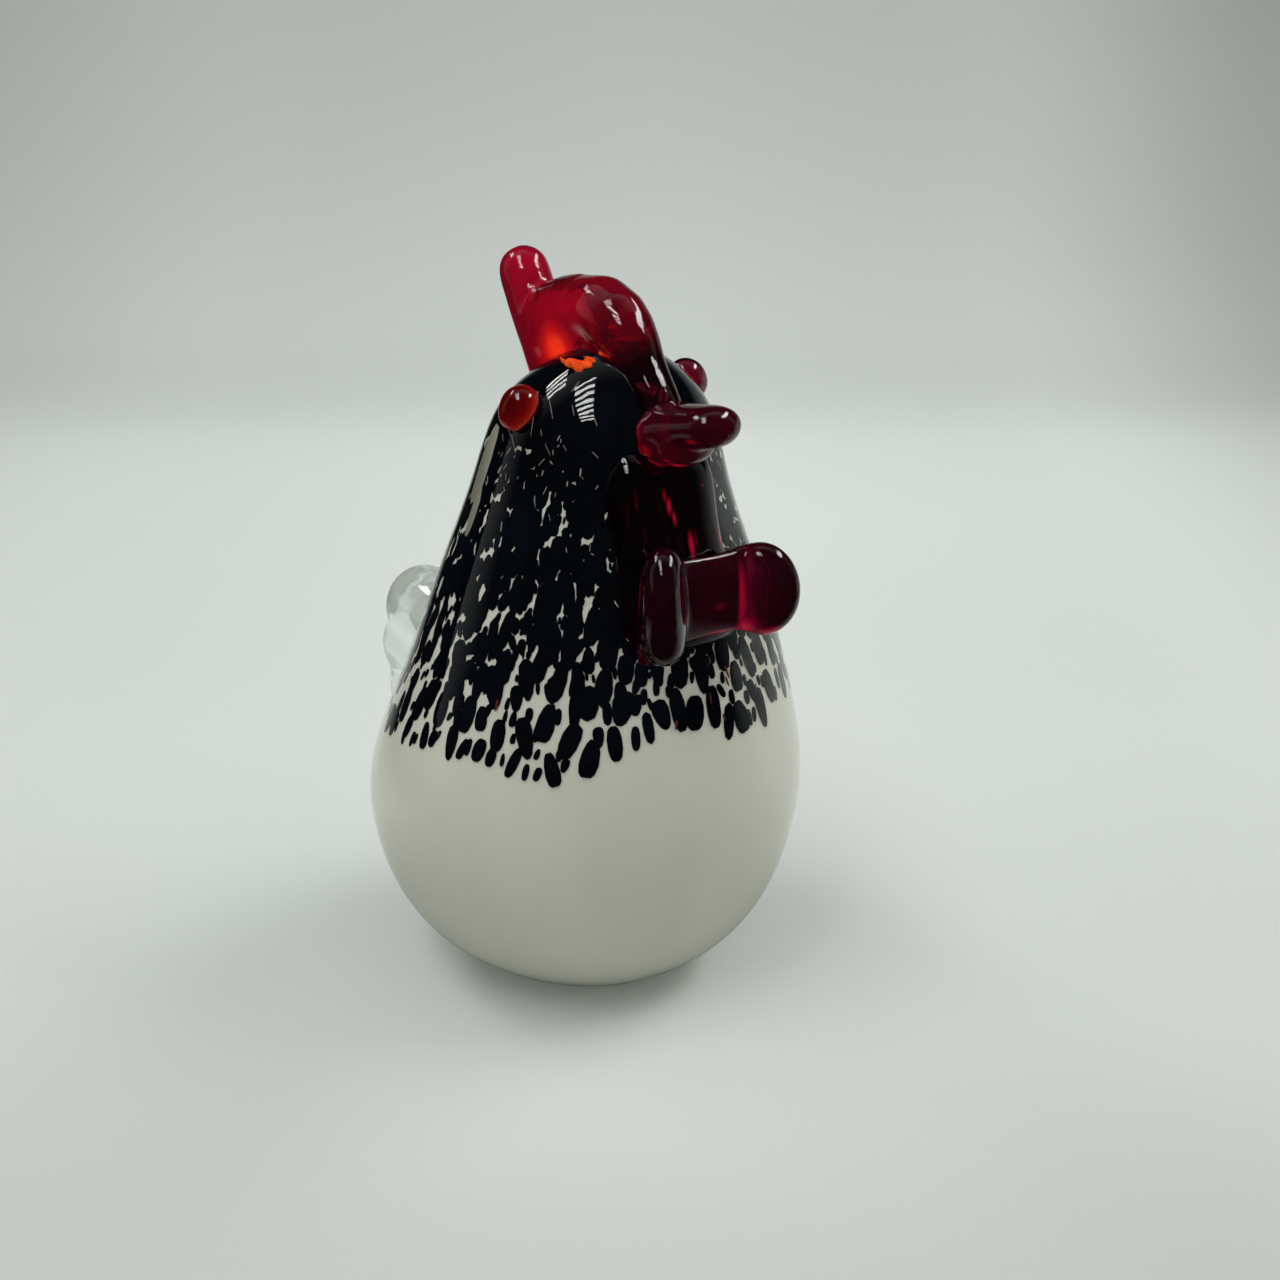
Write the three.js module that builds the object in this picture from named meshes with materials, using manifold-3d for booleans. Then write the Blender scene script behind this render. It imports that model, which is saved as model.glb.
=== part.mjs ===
// Glass chicken paperweight: a solid, cased, hot-worked glass bird on a ground flat base.
// Millimetres, +Z up. The bird faces -Y and its left side is +X.
// The origin is the middle of the ground flat that it stands on.

import * as THREE from "three";
import { mergeVertices } from "three/addons/utils/BufferGeometryUtils.js";
import Module from "manifold-3d";

// Body outline, from the ground flat to the crown.
// Each station has a height, a radius and a lean, which is how far its ring sits forward of the origin.
const UNDERSIDE_DEPTH = 3.4; // how far the blown form bulged below the flat before it was ground off
const BASE_RADIUS = 13.8;
const HEEL_HEIGHT = 11.5;
const HEEL_RADIUS = 31;
const HEEL_LEAN = -2.4;
const BELLY_HEIGHT = 33;
const BELLY_RADIUS = 38;
const BELLY_LEAN = -2.4;
const SHOULDER_HEIGHT = 60;
const SHOULDER_RADIUS = 31.4;
const SHOULDER_LEAN = 1.6;
const NECK_HEIGHT = 86;
const NECK_RADIUS = 22.2;
const NECK_LEAN = 2.8;
const BROW_HEIGHT = 104;
const BROW_RADIUS = 15.6;
const BROW_LEAN = 4.6;
const CROWN_HEIGHT = 112.8;
const CROWN_LEAN = 7.4;

// Glass layers, outside to inside
const CASING_BELLY = 1.6; // clear casing over the white belly
const CASING_HEAD = 3.0; // clear casing where it gathered at the neck and head
const CASING_SWELL_START = 44; // height where the casing starts to thicken
const CASING_SWELL_END = 92; // height where it is at its thickest
const FRIT_THICKNESS = 0.9;
const SEAT = 0.3; // clearance between pieces that were fused hot

// Ragged lower margin of the black frit
const MARGIN_HEIGHT = 51.5; // top of the notches between the tongues
const TONGUE_COUNT = 20;
const TONGUE_LENGTH = 6.5;
const TONGUE_UNEVEN = 0.2; // how far the tongues' lengths swing, as a share
const TONGUE_ROUNDNESS = 0.65; // under 1 the tongues are round and the notches narrow
const TONGUE_STEPS = 6; // points along each tongue
const CHIP_LENGTH = 5; // loose chips below every second notch
const CHIP_WIDTH = 2.6;
const CHIP_FALL = 6; // middle of a chip below the notch
const SLIT_ROWS = 2; // white gaps between the melted chips above the margin
const SLIT_COUNT = 10; // gaps in each row
const SLIT_LENGTH = 5.6;
const SLIT_WIDTH = 1.9;
const SLIT_RISE = 7.5; // rise of the first row above the margin height, and of each row above the last
const SLIT_STRAY = 1; // how far a gap strays up or down from its row
const UNEVEN_STEP = 2.4; // turn, in radians, that spreads uneven sizes round the body

// Ruby comb on the middle plane: a rear finger and an arching front lobe that runs down the forehead
const FINGER_REACH = 22; // along its straight rear edge, from the root to the middle of the tip
const FINGER_TILT = 29.5; // degrees that the rear edge leans back from upright
const FINGER_BEHIND_CROWN = 19.1; // rear edge's root behind the crown's middle
const FINGER_BELOW_CROWN = 14;
const FINGER_RADIUS = 4.3;
const FINGER_ROOT_HALF_WIDTH = 5.6;
const FINGER_ROOT_HALF_DEPTH = 8.6; // the foot spreads forward under the lobe
const FINGER_WAIST = 0.6; // share of the way up where the foot has drawn in to the finger
const ARCH_RADIUS = 8.8; // arch of the front lobe, on its middle line
const ARCH_BEHIND_CROWN = 3.8; // arch centre behind the crown's middle
const ARCH_BELOW_CROWN = 4.4;
const ARCH_START = 200; // degrees, from straight ahead over the top: the foot behind the head
const ARCH_END = 38; // where the arch runs into the ridge
const ARCH_WEB_HALF_WIDTH = 4.6; // the glass that fills the arch
const LOBE_HALF_WIDTH = 5.4;
const LOBE_HALF_DEPTH = 5.4;
const RIDGE_HALF_WIDTH = 3.8;
const RIDGE_HALF_DEPTH = 3;

// Beak
const BEAK_HEIGHT = 101.2;
const BEAK_OUT = 14.9; // how far the tip stands out from the face
const BEAK_LIFT = 3.7; // rise of the tip over the root
const BEAK_ROOT_HALF_WIDTH = 6.4;
const BEAK_ROOT_HALF_HEIGHT = 4.9;
const BEAK_TIP_HALF_WIDTH = 4.4;
const BEAK_TIP_HALF_HEIGHT = 3.3;

// Throat ribbon, and the bow-shaped wattle: a bridge across the ribbon with a flat lobe at each end
const RIBBON_TOP = 97;
const RIBBON_BOTTOM = 67;
const RIBBON_TOP_HALF_WIDTH = 8.6;
const RIBBON_BOTTOM_HALF_WIDTH = 11;
const RIBBON_ASIDE = -1.5; // the ribbon was trailed a little to the bird's right
const RIBBON_THICKNESS = 2.6;
const WATTLE_HEIGHT = 77.6; // middle of the bridge
const WATTLE_SPLAY = 35; // degrees each lobe turns out from straight ahead
const WATTLE_ROOT = 7.6; // sideways from the middle plane to each lobe's root
const WATTLE_LENGTH = 8.7; // how far each lobe reaches out from its root
const WATTLE_BACK = 4; // how far each lobe's disc ran back under the bridge before they fused
const WATTLE_THICKNESS = 6;
const RIGHT_WATTLE_TALL = 18;
const LEFT_WATTLE_TALL = 15;
const WATTLE_SLANT = 0.7; // the right lobe sits this much above the bridge's middle, the left one below
const BRIDGE_TALL = 11.4;
const BRIDGE_FLARE = 1.6; // how much taller the bridge is at its ends
const BRIDGE_THICKNESS = 3.6;
const BRIDGE_HALF_LENGTH = 8.5;

// Eyes
const EYE_HEIGHT = 103.2;
const EYE_BEARING = 89; // degrees from straight ahead
const EYE_WIDTH = 6.6;
const EYE_LENGTH = 7.8;
const EYE_BULGE = 3.1;
const EYE_TAPER = 0.35; // share by which the lower end narrows to a drop's point

// Clear tail: a thick paddle, crimped into plumes that fan out from one root
const TAIL_HEIGHT = 38.5; // middle of the tail's root
const TAIL_OUT = 28; // how far the middle plume's tip stands out from the body
const TAIL_RISE = 3; // rise of the tips over the root
const TAIL_HALF_WIDTH = 8;
const PLUME_HALF_HEIGHT = 7.6;
const PLUME_ROOT_STEP = 6; // height from plume to plume at the root
const PLUME_TIP_STEP = 9.6; // and at the tips
const PLUME_DROP = 1.4; // how much less the outer plumes reach

// Mesh density
const SIDES = 36;
const RINGS = 20;
const BIT_SIDES = 14;
const BIT_RINGS = 11;
const PLUG_SIDES = 10;
const PLUG_RINGS = 7;
const ARCH_POINTS = 5;

const WELL_OUTSIDE = 1.2; // cutting solids reach this share of the body's size

const wasm = await Module();
wasm.setup();

// Glass colours
const opalGlass = new THREE.MeshStandardMaterial({ color: 0xe6e4dc, roughness: 0.25, metalness: 0 });
const blackGlass = new THREE.MeshStandardMaterial({ color: 0x0b0c0e, roughness: 0.2, metalness: 0 });
const rubyGlass = new THREE.MeshStandardMaterial({ color: 0x9a0a1c, roughness: 0.08, metalness: 0 });
const darkRubyGlass = new THREE.MeshStandardMaterial({ color: 0x4a0812, roughness: 0.08, metalness: 0 });
const clearGlass = new THREE.MeshStandardMaterial({
  color: 0xdfe8e4,
  roughness: 0.05,
  metalness: 0,
  transparent: true,
  opacity: 0.35,
});

const rad = THREE.MathUtils.degToRad;

// Solids and back

function solidOf(geometry) {
  const bare = geometry.clone();
  bare.deleteAttribute("normal");
  bare.deleteAttribute("uv");
  const merged = mergeVertices(bare, 1e-5);
  return new wasm.Manifold(new wasm.Mesh({
    numProp: 3,
    vertProperties: new Float32Array(merged.attributes.position.array),
    triVerts: new Uint32Array(merged.index.array),
  }));
}

function geometryOf(solid) {
  const mesh = solid.getMesh();
  const geometry = new THREE.BufferGeometry();
  const positions = [];
  for (let i = 0; i < mesh.vertProperties.length; i += mesh.numProp) {
    positions.push(mesh.vertProperties[i], mesh.vertProperties[i + 1], mesh.vertProperties[i + 2]);
  }
  geometry.setAttribute("position", new THREE.Float32BufferAttribute(positions, 3));
  geometry.setIndex(Array.from(mesh.triVerts));
  geometry.computeVertexNormals();
  return geometry;
}

// A closed skin over rings of points that run from a first pole to a last pole
function skin(firstPole, rings, lastPole) {
  const sides = rings[0].length;
  const positions = [firstPole, ...rings.flat(), lastPole].flatMap((p) => [p.x, p.y, p.z]);
  const last = 1 + rings.length * sides;
  const index = [];
  for (let i = 0; i < sides; i++) {
    const next = (i + 1) % sides;
    index.push(0, 1 + next, 1 + i);
    for (let k = 0; k + 1 < rings.length; k++) {
      const low = 1 + k * sides;
      const high = low + sides;
      index.push(low + i, low + next, high + next);
      index.push(low + i, high + next, high + i);
    }
    const top = 1 + (rings.length - 1) * sides;
    index.push(last, top + i, top + next);
  }
  const geometry = new THREE.BufferGeometry();
  geometry.setAttribute("position", new THREE.Float32BufferAttribute(positions, 3));
  geometry.setIndex(index);
  return geometry;
}

// Body outline as one smooth curve of (radius, lean, height).
// It runs on past both poles, mirrored, so that the crown and underside close round.
const stations = [
  [0, 0, -UNDERSIDE_DEPTH],
  [BASE_RADIUS, 0, 0],
  [HEEL_RADIUS, HEEL_LEAN, HEEL_HEIGHT],
  [BELLY_RADIUS, BELLY_LEAN, BELLY_HEIGHT],
  [SHOULDER_RADIUS, SHOULDER_LEAN, SHOULDER_HEIGHT],
  [NECK_RADIUS, NECK_LEAN, NECK_HEIGHT],
  [BROW_RADIUS, BROW_LEAN, BROW_HEIGHT],
  [0, CROWN_LEAN, CROWN_HEIGHT],
].map(([radius, lean, height]) => new THREE.Vector3(radius, lean, height));
const mirrored = (p) => new THREE.Vector3(-p.x, p.y, p.z);
const outline = new THREE.CatmullRomCurve3(
  [mirrored(stations[1]), ...stations, mirrored(stations[stations.length - 2])],
  false,
  "centripetal",
);
const FIRST = 1 / (stations.length + 1);
const SPAN = (stations.length - 1) / (stations.length + 1);

// Point of the outline at a share of the way from underside to crown, moved in by a depth
function outlineAt(share, depthAt) {
  const t = FIRST + SPAN * share;
  const here = outline.getPoint(t);
  const step = 1e-3;
  const slope = outline.getPoint(t + step).sub(outline.getPoint(t - step));
  const length = Math.hypot(slope.x, slope.z);
  const depth = depthAt(here.z);
  return {
    radius: here.x - (slope.z / length) * depth,
    height: here.z + (slope.x / length) * depth,
    lean: here.y,
  };
}

// The bird's form, moved in by a depth that may change with height
function form(depthAt) {
  const rings = [];
  for (let k = 1; k < RINGS; k++) {
    const ring = [];
    const { radius, height, lean } = outlineAt(k / RINGS, depthAt);
    for (let i = 0; i < SIDES; i++) {
      const angle = (2 * Math.PI * i) / SIDES;
      ring.push(new THREE.Vector3(radius * Math.cos(angle), -lean + radius * Math.sin(angle), height));
    }
    rings.push(ring);
  }
  const under = outlineAt(0, depthAt);
  const crown = outlineAt(1, depthAt);
  return solidOf(skin(
    new THREE.Vector3(0, -under.lean, under.height),
    rings,
    new THREE.Vector3(0, -crown.lean, crown.height),
  ));
}

// Radius and lean of the outer form at a height
function ringAt(height) {
  let low = 0;
  let high = 1;
  const still = () => 0;
  for (let i = 0; i < 40; i++) {
    const middle = (low + high) / 2;
    if (outlineAt(middle, still).height < height) {
      low = middle;
    } else {
      high = middle;
    }
  }
  return outlineAt(low, still);
}

function casingDepth(height) {
  const swell = THREE.MathUtils.smoothstep(height, CASING_SWELL_START, CASING_SWELL_END);
  return CASING_BELLY + (CASING_HEAD - CASING_BELLY) * swell;
}

// Share of the full width at a distance from a quarter-round end
function roundedEnd(distance, radius) {
  return Math.sqrt(1 - (1 - Math.min(distance, radius) / radius) ** 2);
}

// A tapered bit of hot glass: elliptical sections along a spine, with both ends rounded.
// Each station is { at, half, deep }: a point, the half width along side and the half depth across it.
// A flat bit may have a disc-shaped edge, whose radius along side is given as tip.
function bit(bitStations, side, { grow = 0, wrap = Infinity, tip = 0 } = {}) {
  const spine = new THREE.CatmullRomCurve3(bitStations.map((s) => s.at), false, "centripetal");
  const sizes = new THREE.SplineCurve(bitStations.map((s) => new THREE.Vector2(s.half, s.deep)));
  const length = spine.getLength();
  const grown = length + 2 * grow;
  const rings = [];
  const poles = [];
  for (let k = 0; k <= BIT_RINGS; k++) {
    const fromStart = (grown * (1 - Math.cos((Math.PI * k) / BIT_RINGS))) / 2;
    const along = fromStart - grow;
    const share = THREE.MathUtils.clamp(along / length, 0, 1);
    const tangent = spine.getTangentAt(share);
    const centre = spine.getPointAt(share).addScaledVector(tangent, along - share * length);
    if (k === 0 || k === BIT_RINGS) {
      poles.push(centre);
      continue;
    }
    const size = sizes.getPoint(spine.getUtoTmapping(share));
    const endRadius = Math.min(size.x, size.y) + grow;
    const fromEnd = Math.min(fromStart, grown - fromStart);
    const deepShare = roundedEnd(fromEnd, endRadius);
    const sideShare = roundedEnd(fromEnd, Math.max(endRadius, tip + grow));
    const deepwards = new THREE.Vector3().crossVectors(tangent, side).normalize();
    const sideways = new THREE.Vector3().crossVectors(deepwards, tangent).normalize();
    const ring = [];
    for (let i = 0; i < BIT_SIDES; i++) {
      const angle = (2 * Math.PI * i) / BIT_SIDES;
      const x = (size.x + grow) * sideShare * Math.cos(angle);
      const y = (size.y + grow) * deepShare * Math.sin(angle) - (x * x) / (2 * wrap);
      ring.push(centre.clone().addScaledVector(sideways, x).addScaledVector(deepwards, y));
    }
    rings.push(ring);
  }
  return solidOf(skin(poles[0], rings, poles[1]));
}

const at = (x, forward, height) => new THREE.Vector3(x, -forward, height);
const acrossBird = new THREE.Vector3(1, 0, 0);
const upright = new THREE.Vector3(0, 0, 1);

// A point on the outer form at a bearing from straight ahead, moved out by a distance
function onBody(bearing, height, out = 0) {
  const { radius, lean } = ringAt(height);
  const angle = rad(bearing);
  return at((radius + out) * Math.sin(angle), lean + (radius + out) * Math.cos(angle), height);
}

// Layers of the body
const wide = 2 * WELL_OUTSIDE * (BELLY_RADIUS + TAIL_OUT);
const belowGround = solidOf(new THREE.BoxGeometry(wide, wide, wide).translate(0, 0, -wide / 2));
const outerForm = form(() => 0);
const casingInside = form(casingDepth);
const coreForm = form((z) => casingDepth(z) + SEAT);
const fritInside = form((z) => casingDepth(z) + SEAT + FRIT_THICKNESS);
const pocketInside = form((z) => casingDepth(z) + 2 * SEAT + FRIT_THICKNESS);
const seatForm = form(() => -SEAT);

// Height of the frit's edge at a share of the way round the body
function marginHeight(share) {
  const tongue = Math.floor(share * TONGUE_COUNT) % TONGUE_COUNT;
  const within = (share * TONGUE_COUNT) % 1;
  const length = TONGUE_LENGTH * (1 - TONGUE_UNEVEN + TONGUE_UNEVEN * Math.sin(tongue * UNEVEN_STEP));
  return MARGIN_HEIGHT - length * Math.sin(Math.PI * within) ** TONGUE_ROUNDNESS;
}

// The frit's edge as points of angle and height, moved out by a clearance square to itself
function marginEdge(clearance) {
  const { radius } = ringAt(MARGIN_HEIGHT);
  const count = TONGUE_COUNT * TONGUE_STEPS;
  const around = 2 * Math.PI * radius;
  const point = (i) => new THREE.Vector2((around * i) / count, marginHeight(((i + count) % count) / count));
  const outward = (from, to) => new THREE.Vector2(to.y - from.y, from.x - to.x).normalize();
  return Array.from({ length: count }, (_, i) => {
    const before = outward(point(i - 1), point(i));
    const after = outward(point(i), point(i + 1));
    const mitre = clearance / (1 + before.dot(after));
    const moved = point(i).addScaledVector(before.add(after), mitre);
    return { angle: moved.x / radius, height: moved.y };
  });
}

// Everything above the frit margin, out past the body
function aboveMargin(clearance) {
  const edge = marginEdge(clearance);
  const { lean } = ringAt(MARGIN_HEIGHT);
  const reach = BELLY_RADIUS * WELL_OUTSIDE;
  const scale = reach / ringAt(MARGIN_HEIGHT).radius;
  const low = MARGIN_HEIGHT - TONGUE_LENGTH / 2;
  const ringOf = (heightOf) => edge.map((e) => at(
    reach * Math.cos(e.angle),
    lean - reach * Math.sin(e.angle),
    heightOf(e),
  ));
  return solidOf(skin(
    at(0, lean, low),
    [ringOf((e) => low + (e.height - low) * scale), ringOf(() => CROWN_HEIGHT * WELL_OUTSIDE)],
    at(0, lean, CROWN_HEIGHT * WELL_OUTSIDE),
  ));
}

// A plug through the body's skin at a bearing and height: an upright oval seen from outside
function plug({ bearing, height }, width, length, clearance) {
  const through = 2 * (FRIT_THICKNESS + CASING_HEAD);
  const oval = new THREE.SphereGeometry(1, PLUG_SIDES, PLUG_RINGS);
  oval.scale(width / 2 + clearance, through, length / 2 + clearance);
  const place = onBody(bearing, height, -casingDepth(height));
  return solidOf(oval.rotateZ(rad(bearing)).translate(place.x, place.y, place.z));
}

const notchStep = 360 / TONGUE_COUNT;
const chips = Array.from({ length: Math.floor(TONGUE_COUNT / 2) }, (_, i) => ({
  bearing: 90 + 2 * i * notchStep,
  height: MARGIN_HEIGHT - CHIP_FALL,
}));
const slits = [];
for (let row = 0; row < SLIT_ROWS; row++) {
  for (let i = 0; i < SLIT_COUNT; i++) {
    slits.push({
      bearing: ((i + row / 2) * 360) / SLIT_COUNT + (notchStep / 4) * Math.sin(i * UNEVEN_STEP),
      height: MARGIN_HEIGHT + SLIT_RISE * (row + 1) + SLIT_STRAY * Math.cos(i * UNEVEN_STEP + row),
    });
  }
}

// Pieces of the body
const skinLayer = coreForm.subtract(fritInside);
let cap = skinLayer.intersect(aboveMargin(0));
for (const slit of slits) {
  cap = cap.subtract(plug(slit, SLIT_WIDTH, SLIT_LENGTH, 0));
}
let recess = aboveMargin(SEAT);
for (const chip of chips) {
  recess = recess.add(plug(chip, CHIP_WIDTH, CHIP_LENGTH, SEAT));
}
const core = coreForm.subtract(belowGround).subtract(recess.subtract(pocketInside));
const casing = outerForm.subtract(casingInside).subtract(belowGround);

// A point ahead of the bird on its middle plane, standing off the outer form
const ahead = (height, out) => onBody(0, height, out);

// Comb
const fingerRoot = at(0, CROWN_LEAN - FINGER_BEHIND_CROWN, CROWN_HEIGHT - FINGER_BELOW_CROWN);
const fingerWay = at(0, -Math.sin(rad(FINGER_TILT)), Math.cos(rad(FINGER_TILT)));
const fingerAhead = at(0, Math.cos(rad(FINGER_TILT)), Math.sin(rad(FINGER_TILT)));
const fingerStation = (along, half, deep) => ({
  at: fingerRoot.clone().addScaledVector(fingerWay, along).addScaledVector(fingerAhead, deep),
  half,
  deep,
});
const finger = (grow) => bit([
  fingerStation(0, FINGER_ROOT_HALF_WIDTH, FINGER_ROOT_HALF_DEPTH),
  fingerStation(FINGER_REACH * FINGER_WAIST, FINGER_RADIUS, FINGER_RADIUS),
  fingerStation(FINGER_REACH + FINGER_RADIUS, FINGER_RADIUS, FINGER_RADIUS),
], acrossBird, { grow });

const beakRoot = ahead(BEAK_HEIGHT, -BEAK_ROOT_HALF_WIDTH);
const beakTip = ahead(BEAK_HEIGHT, BEAK_OUT).setZ(BEAK_HEIGHT + BEAK_LIFT);
const beak = (grow) => bit([
  { at: beakRoot, half: BEAK_ROOT_HALF_WIDTH, deep: BEAK_ROOT_HALF_HEIGHT },
  {
    at: beakRoot.clone().lerp(beakTip, 0.5),
    half: (BEAK_ROOT_HALF_WIDTH + 2 * BEAK_TIP_HALF_WIDTH) / 3,
    deep: (BEAK_ROOT_HALF_HEIGHT + 2 * BEAK_TIP_HALF_HEIGHT) / 3,
  },
  { at: beakTip, half: BEAK_TIP_HALF_WIDTH, deep: BEAK_TIP_HALF_HEIGHT },
], acrossBird, { grow });

const archCentre = at(0, CROWN_LEAN - ARCH_BEHIND_CROWN, CROWN_HEIGHT - ARCH_BELOW_CROWN);
const archStations = Array.from({ length: ARCH_POINTS }, (_, i) => {
  const angle = rad(THREE.MathUtils.lerp(ARCH_START, ARCH_END, i / (ARCH_POINTS - 1)));
  const place = at(0, ARCH_RADIUS * Math.cos(angle), ARCH_RADIUS * Math.sin(angle)).add(archCentre);
  return { at: place, half: LOBE_HALF_WIDTH, deep: LOBE_HALF_DEPTH };
});
const ridgeHeight = (BEAK_HEIGHT + BEAK_ROOT_HALF_HEIGHT + archStations.at(-1).at.z) / 2;
const archWeb = solidOf(
  new THREE.SphereGeometry(1, BIT_SIDES, BIT_RINGS)
    .scale(ARCH_WEB_HALF_WIDTH, ARCH_RADIUS, ARCH_RADIUS)
    .translate(archCentre.x, archCentre.y, archCentre.z),
);
const frontLobe = bit([
  ...archStations,
  { at: ahead(ridgeHeight, 0), half: RIDGE_HALF_WIDTH, deep: RIDGE_HALF_DEPTH },
  { at: ahead(BEAK_HEIGHT, 0), half: RIDGE_HALF_WIDTH, deep: RIDGE_HALF_DEPTH },
], acrossBird).add(archWeb);

// Throat
const between = THREE.MathUtils.lerp;
const ribbon = (grow) => bit([0, 0.5, 1].map((share) => ({
  at: ahead(between(RIBBON_TOP, RIBBON_BOTTOM, share), RIBBON_THICKNESS / 2).setX(RIBBON_ASIDE),
  half: between(RIBBON_TOP_HALF_WIDTH, RIBBON_BOTTOM_HALF_WIDTH, share),
  deep: RIBBON_THICKNESS / 2,
})), acrossBird, { grow, wrap: NECK_RADIUS });

const bridgeMiddle = ahead(WATTLE_HEIGHT, RIBBON_THICKNESS + BRIDGE_THICKNESS / 2);
const bridge = (grow) => bit([-1, 0, 1].map((share) => ({
  at: bridgeMiddle.clone().add(at(share * BRIDGE_HALF_LENGTH, 0, 0)),
  half: BRIDGE_TALL / 2 + BRIDGE_FLARE * share ** 2,
  deep: BRIDGE_THICKNESS / 2,
})), upright, { grow });

function wattle(sideSign, tall) {
  const way = at(sideSign * Math.sin(rad(WATTLE_SPLAY)), Math.cos(rad(WATTLE_SPLAY)), 0);
  const root = bridgeMiddle.clone().add(at(sideSign * WATTLE_ROOT, 0, -sideSign * WATTLE_SLANT));
  const middle = root.addScaledVector(way, (WATTLE_LENGTH - WATTLE_BACK) / 2);
  return bit([-1, 0, 1].map((share) => ({
    at: middle.clone().addScaledVector(upright, (share * tall) / 2),
    half: (WATTLE_LENGTH + WATTLE_BACK) / 2,
    deep: WATTLE_THICKNESS / 2,
  })), way, { tip: tall / 2 });
}

// Eyes: drops of red glass, narrower at the lower end
function eye(sideSign) {
  const drop = new THREE.SphereGeometry(1, BIT_SIDES, PLUG_RINGS);
  const points = drop.attributes.position;
  for (let i = 0; i < points.count; i++) {
    const low = Math.max(0, -points.getZ(i));
    points.setX(i, points.getX(i) * (1 - EYE_TAPER * low));
  }
  drop.scale(EYE_WIDTH / 2, EYE_BULGE, EYE_LENGTH / 2);
  const bearing = sideSign * EYE_BEARING;
  const place = onBody(bearing, EYE_HEIGHT);
  return solidOf(drop.rotateZ(rad(bearing)).translate(place.x, place.y, place.z));
}

// Tail
const tailRoot = onBody(180, TAIL_HEIGHT, -TAIL_HALF_WIDTH);
const tailTip = onBody(180, TAIL_HEIGHT, TAIL_OUT).setZ(TAIL_HEIGHT + TAIL_RISE);
function plume(level) {
  const root = tailRoot.clone().add(at(0, 0, level * PLUME_ROOT_STEP));
  const tip = tailTip.clone().add(at(0, PLUME_DROP * level ** 2, level * PLUME_TIP_STEP));
  return bit([0, 0.5, 1].map((share) => ({
    at: root.clone().lerp(tip, share),
    half: PLUME_HALF_HEIGHT,
    deep: TAIL_HALF_WIDTH,
  })), upright, { tip: PLUME_HALF_HEIGHT });
}
const tail = plume(-1).add(plume(0)).add(plume(1));

const glassBird = new THREE.Group();

function place(name, solid, material) {
  const mesh = new THREE.Mesh(geometryOf(solid), material);
  mesh.name = name;
  glassBird.add(mesh);
}

const seatedLobe = frontLobe.subtract(seatForm).subtract(finger(SEAT)).subtract(beak(SEAT));
const throat = ribbon(0).subtract(seatForm).subtract(beak(SEAT));
const wattleBridge = bridge(0).subtract(seatForm).subtract(ribbon(SEAT));
const seatWattle = (solid) => solid.subtract(seatForm).subtract(ribbon(SEAT)).subtract(bridge(SEAT));

place("opal_core", core, opalGlass);
place("frit_cap", cap, blackGlass);
chips.forEach((chip, i) => {
  const oval = plug(chip, CHIP_WIDTH, CHIP_LENGTH, 0);
  place(`frit_chip_${String(i + 1).padStart(2, "0")}`, oval.intersect(skinLayer), blackGlass);
});
place("clear_casing", casing, clearGlass);
place("comb_rear_finger", finger(0).subtract(seatForm), rubyGlass);
place("comb_front_lobe", seatedLobe, rubyGlass);
place("beak", beak(0).subtract(seatForm), darkRubyGlass);
place("throat_ribbon", throat, darkRubyGlass);
place("wattle_bridge", wattleBridge, darkRubyGlass);
place("wattle_right", seatWattle(wattle(-1, RIGHT_WATTLE_TALL)), darkRubyGlass);
place("wattle_left", seatWattle(wattle(1, LEFT_WATTLE_TALL)), darkRubyGlass);
place("eye_right", eye(-1).subtract(seatForm), rubyGlass);
place("eye_left", eye(1).subtract(seatForm), rubyGlass);
place("tail", tail.subtract(seatForm), clearGlass);

export default glassBird;
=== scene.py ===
"""Glass hen paperweight: the hot-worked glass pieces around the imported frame, their materials and the stage.

Lengths in the tables are millimetres, as on the CAD side, and are turned to metres where a mesh is made.
The bird faces -Y, its left side is +X, and it stands on the floor at z = 0.
"""

import math
import random

import bpy
from bpy.props import FloatProperty, FloatVectorProperty, IntProperty, PointerProperty
from bpy.types import Operator, Panel, PropertyGroup
from mathutils import Matrix, Vector


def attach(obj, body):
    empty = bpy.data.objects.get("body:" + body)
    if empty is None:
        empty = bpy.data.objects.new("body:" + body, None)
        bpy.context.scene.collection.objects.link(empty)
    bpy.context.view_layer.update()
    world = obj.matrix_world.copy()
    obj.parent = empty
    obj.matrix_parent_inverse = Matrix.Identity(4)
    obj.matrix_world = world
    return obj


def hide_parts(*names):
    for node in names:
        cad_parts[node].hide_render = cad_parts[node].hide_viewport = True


bl_info = {
    "name": "Glass Hen Paperweight",
    "version": (1, 0, 0),
    "blender": (4, 5, 0),
    "location": "View3D > Sidebar > Glass Hen",
    "description": "Builds the smooth glass pieces of a cased glass hen around its packed frame",
    "category": "Add Mesh",
}

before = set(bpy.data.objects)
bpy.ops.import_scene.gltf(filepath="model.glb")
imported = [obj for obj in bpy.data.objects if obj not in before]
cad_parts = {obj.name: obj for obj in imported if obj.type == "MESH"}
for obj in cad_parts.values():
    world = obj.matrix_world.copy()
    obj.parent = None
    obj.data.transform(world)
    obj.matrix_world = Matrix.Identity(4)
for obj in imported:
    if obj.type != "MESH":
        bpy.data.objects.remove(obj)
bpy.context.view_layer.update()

MM = 0.001
BODY = "root"

# Outline of the body: radius, lean forward, height
STATIONS = (
    (0, 0, -3.4),
    (13.8, 0, 0),
    (31, -2.4, 11.5),
    (38, -2.4, 33),
    (31.4, 1.6, 60),
    (22.2, 2.8, 86),
    (15.6, 4.6, 104),
    (0, 7.4, 112.8),
)
CROWN_HEIGHT = 112.8
CASING_BELLY = 1.6
CASING_HEAD = 3.0
CASING_SWELL = (44, 92)
SEAT = 0.3  # the gap that the CAD side leaves between the casing and the white body
CORE_FOOT = 0.35
SINK = 0.7  # how far the hot bits sank into the casing where they were fused


# The body's form

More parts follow.
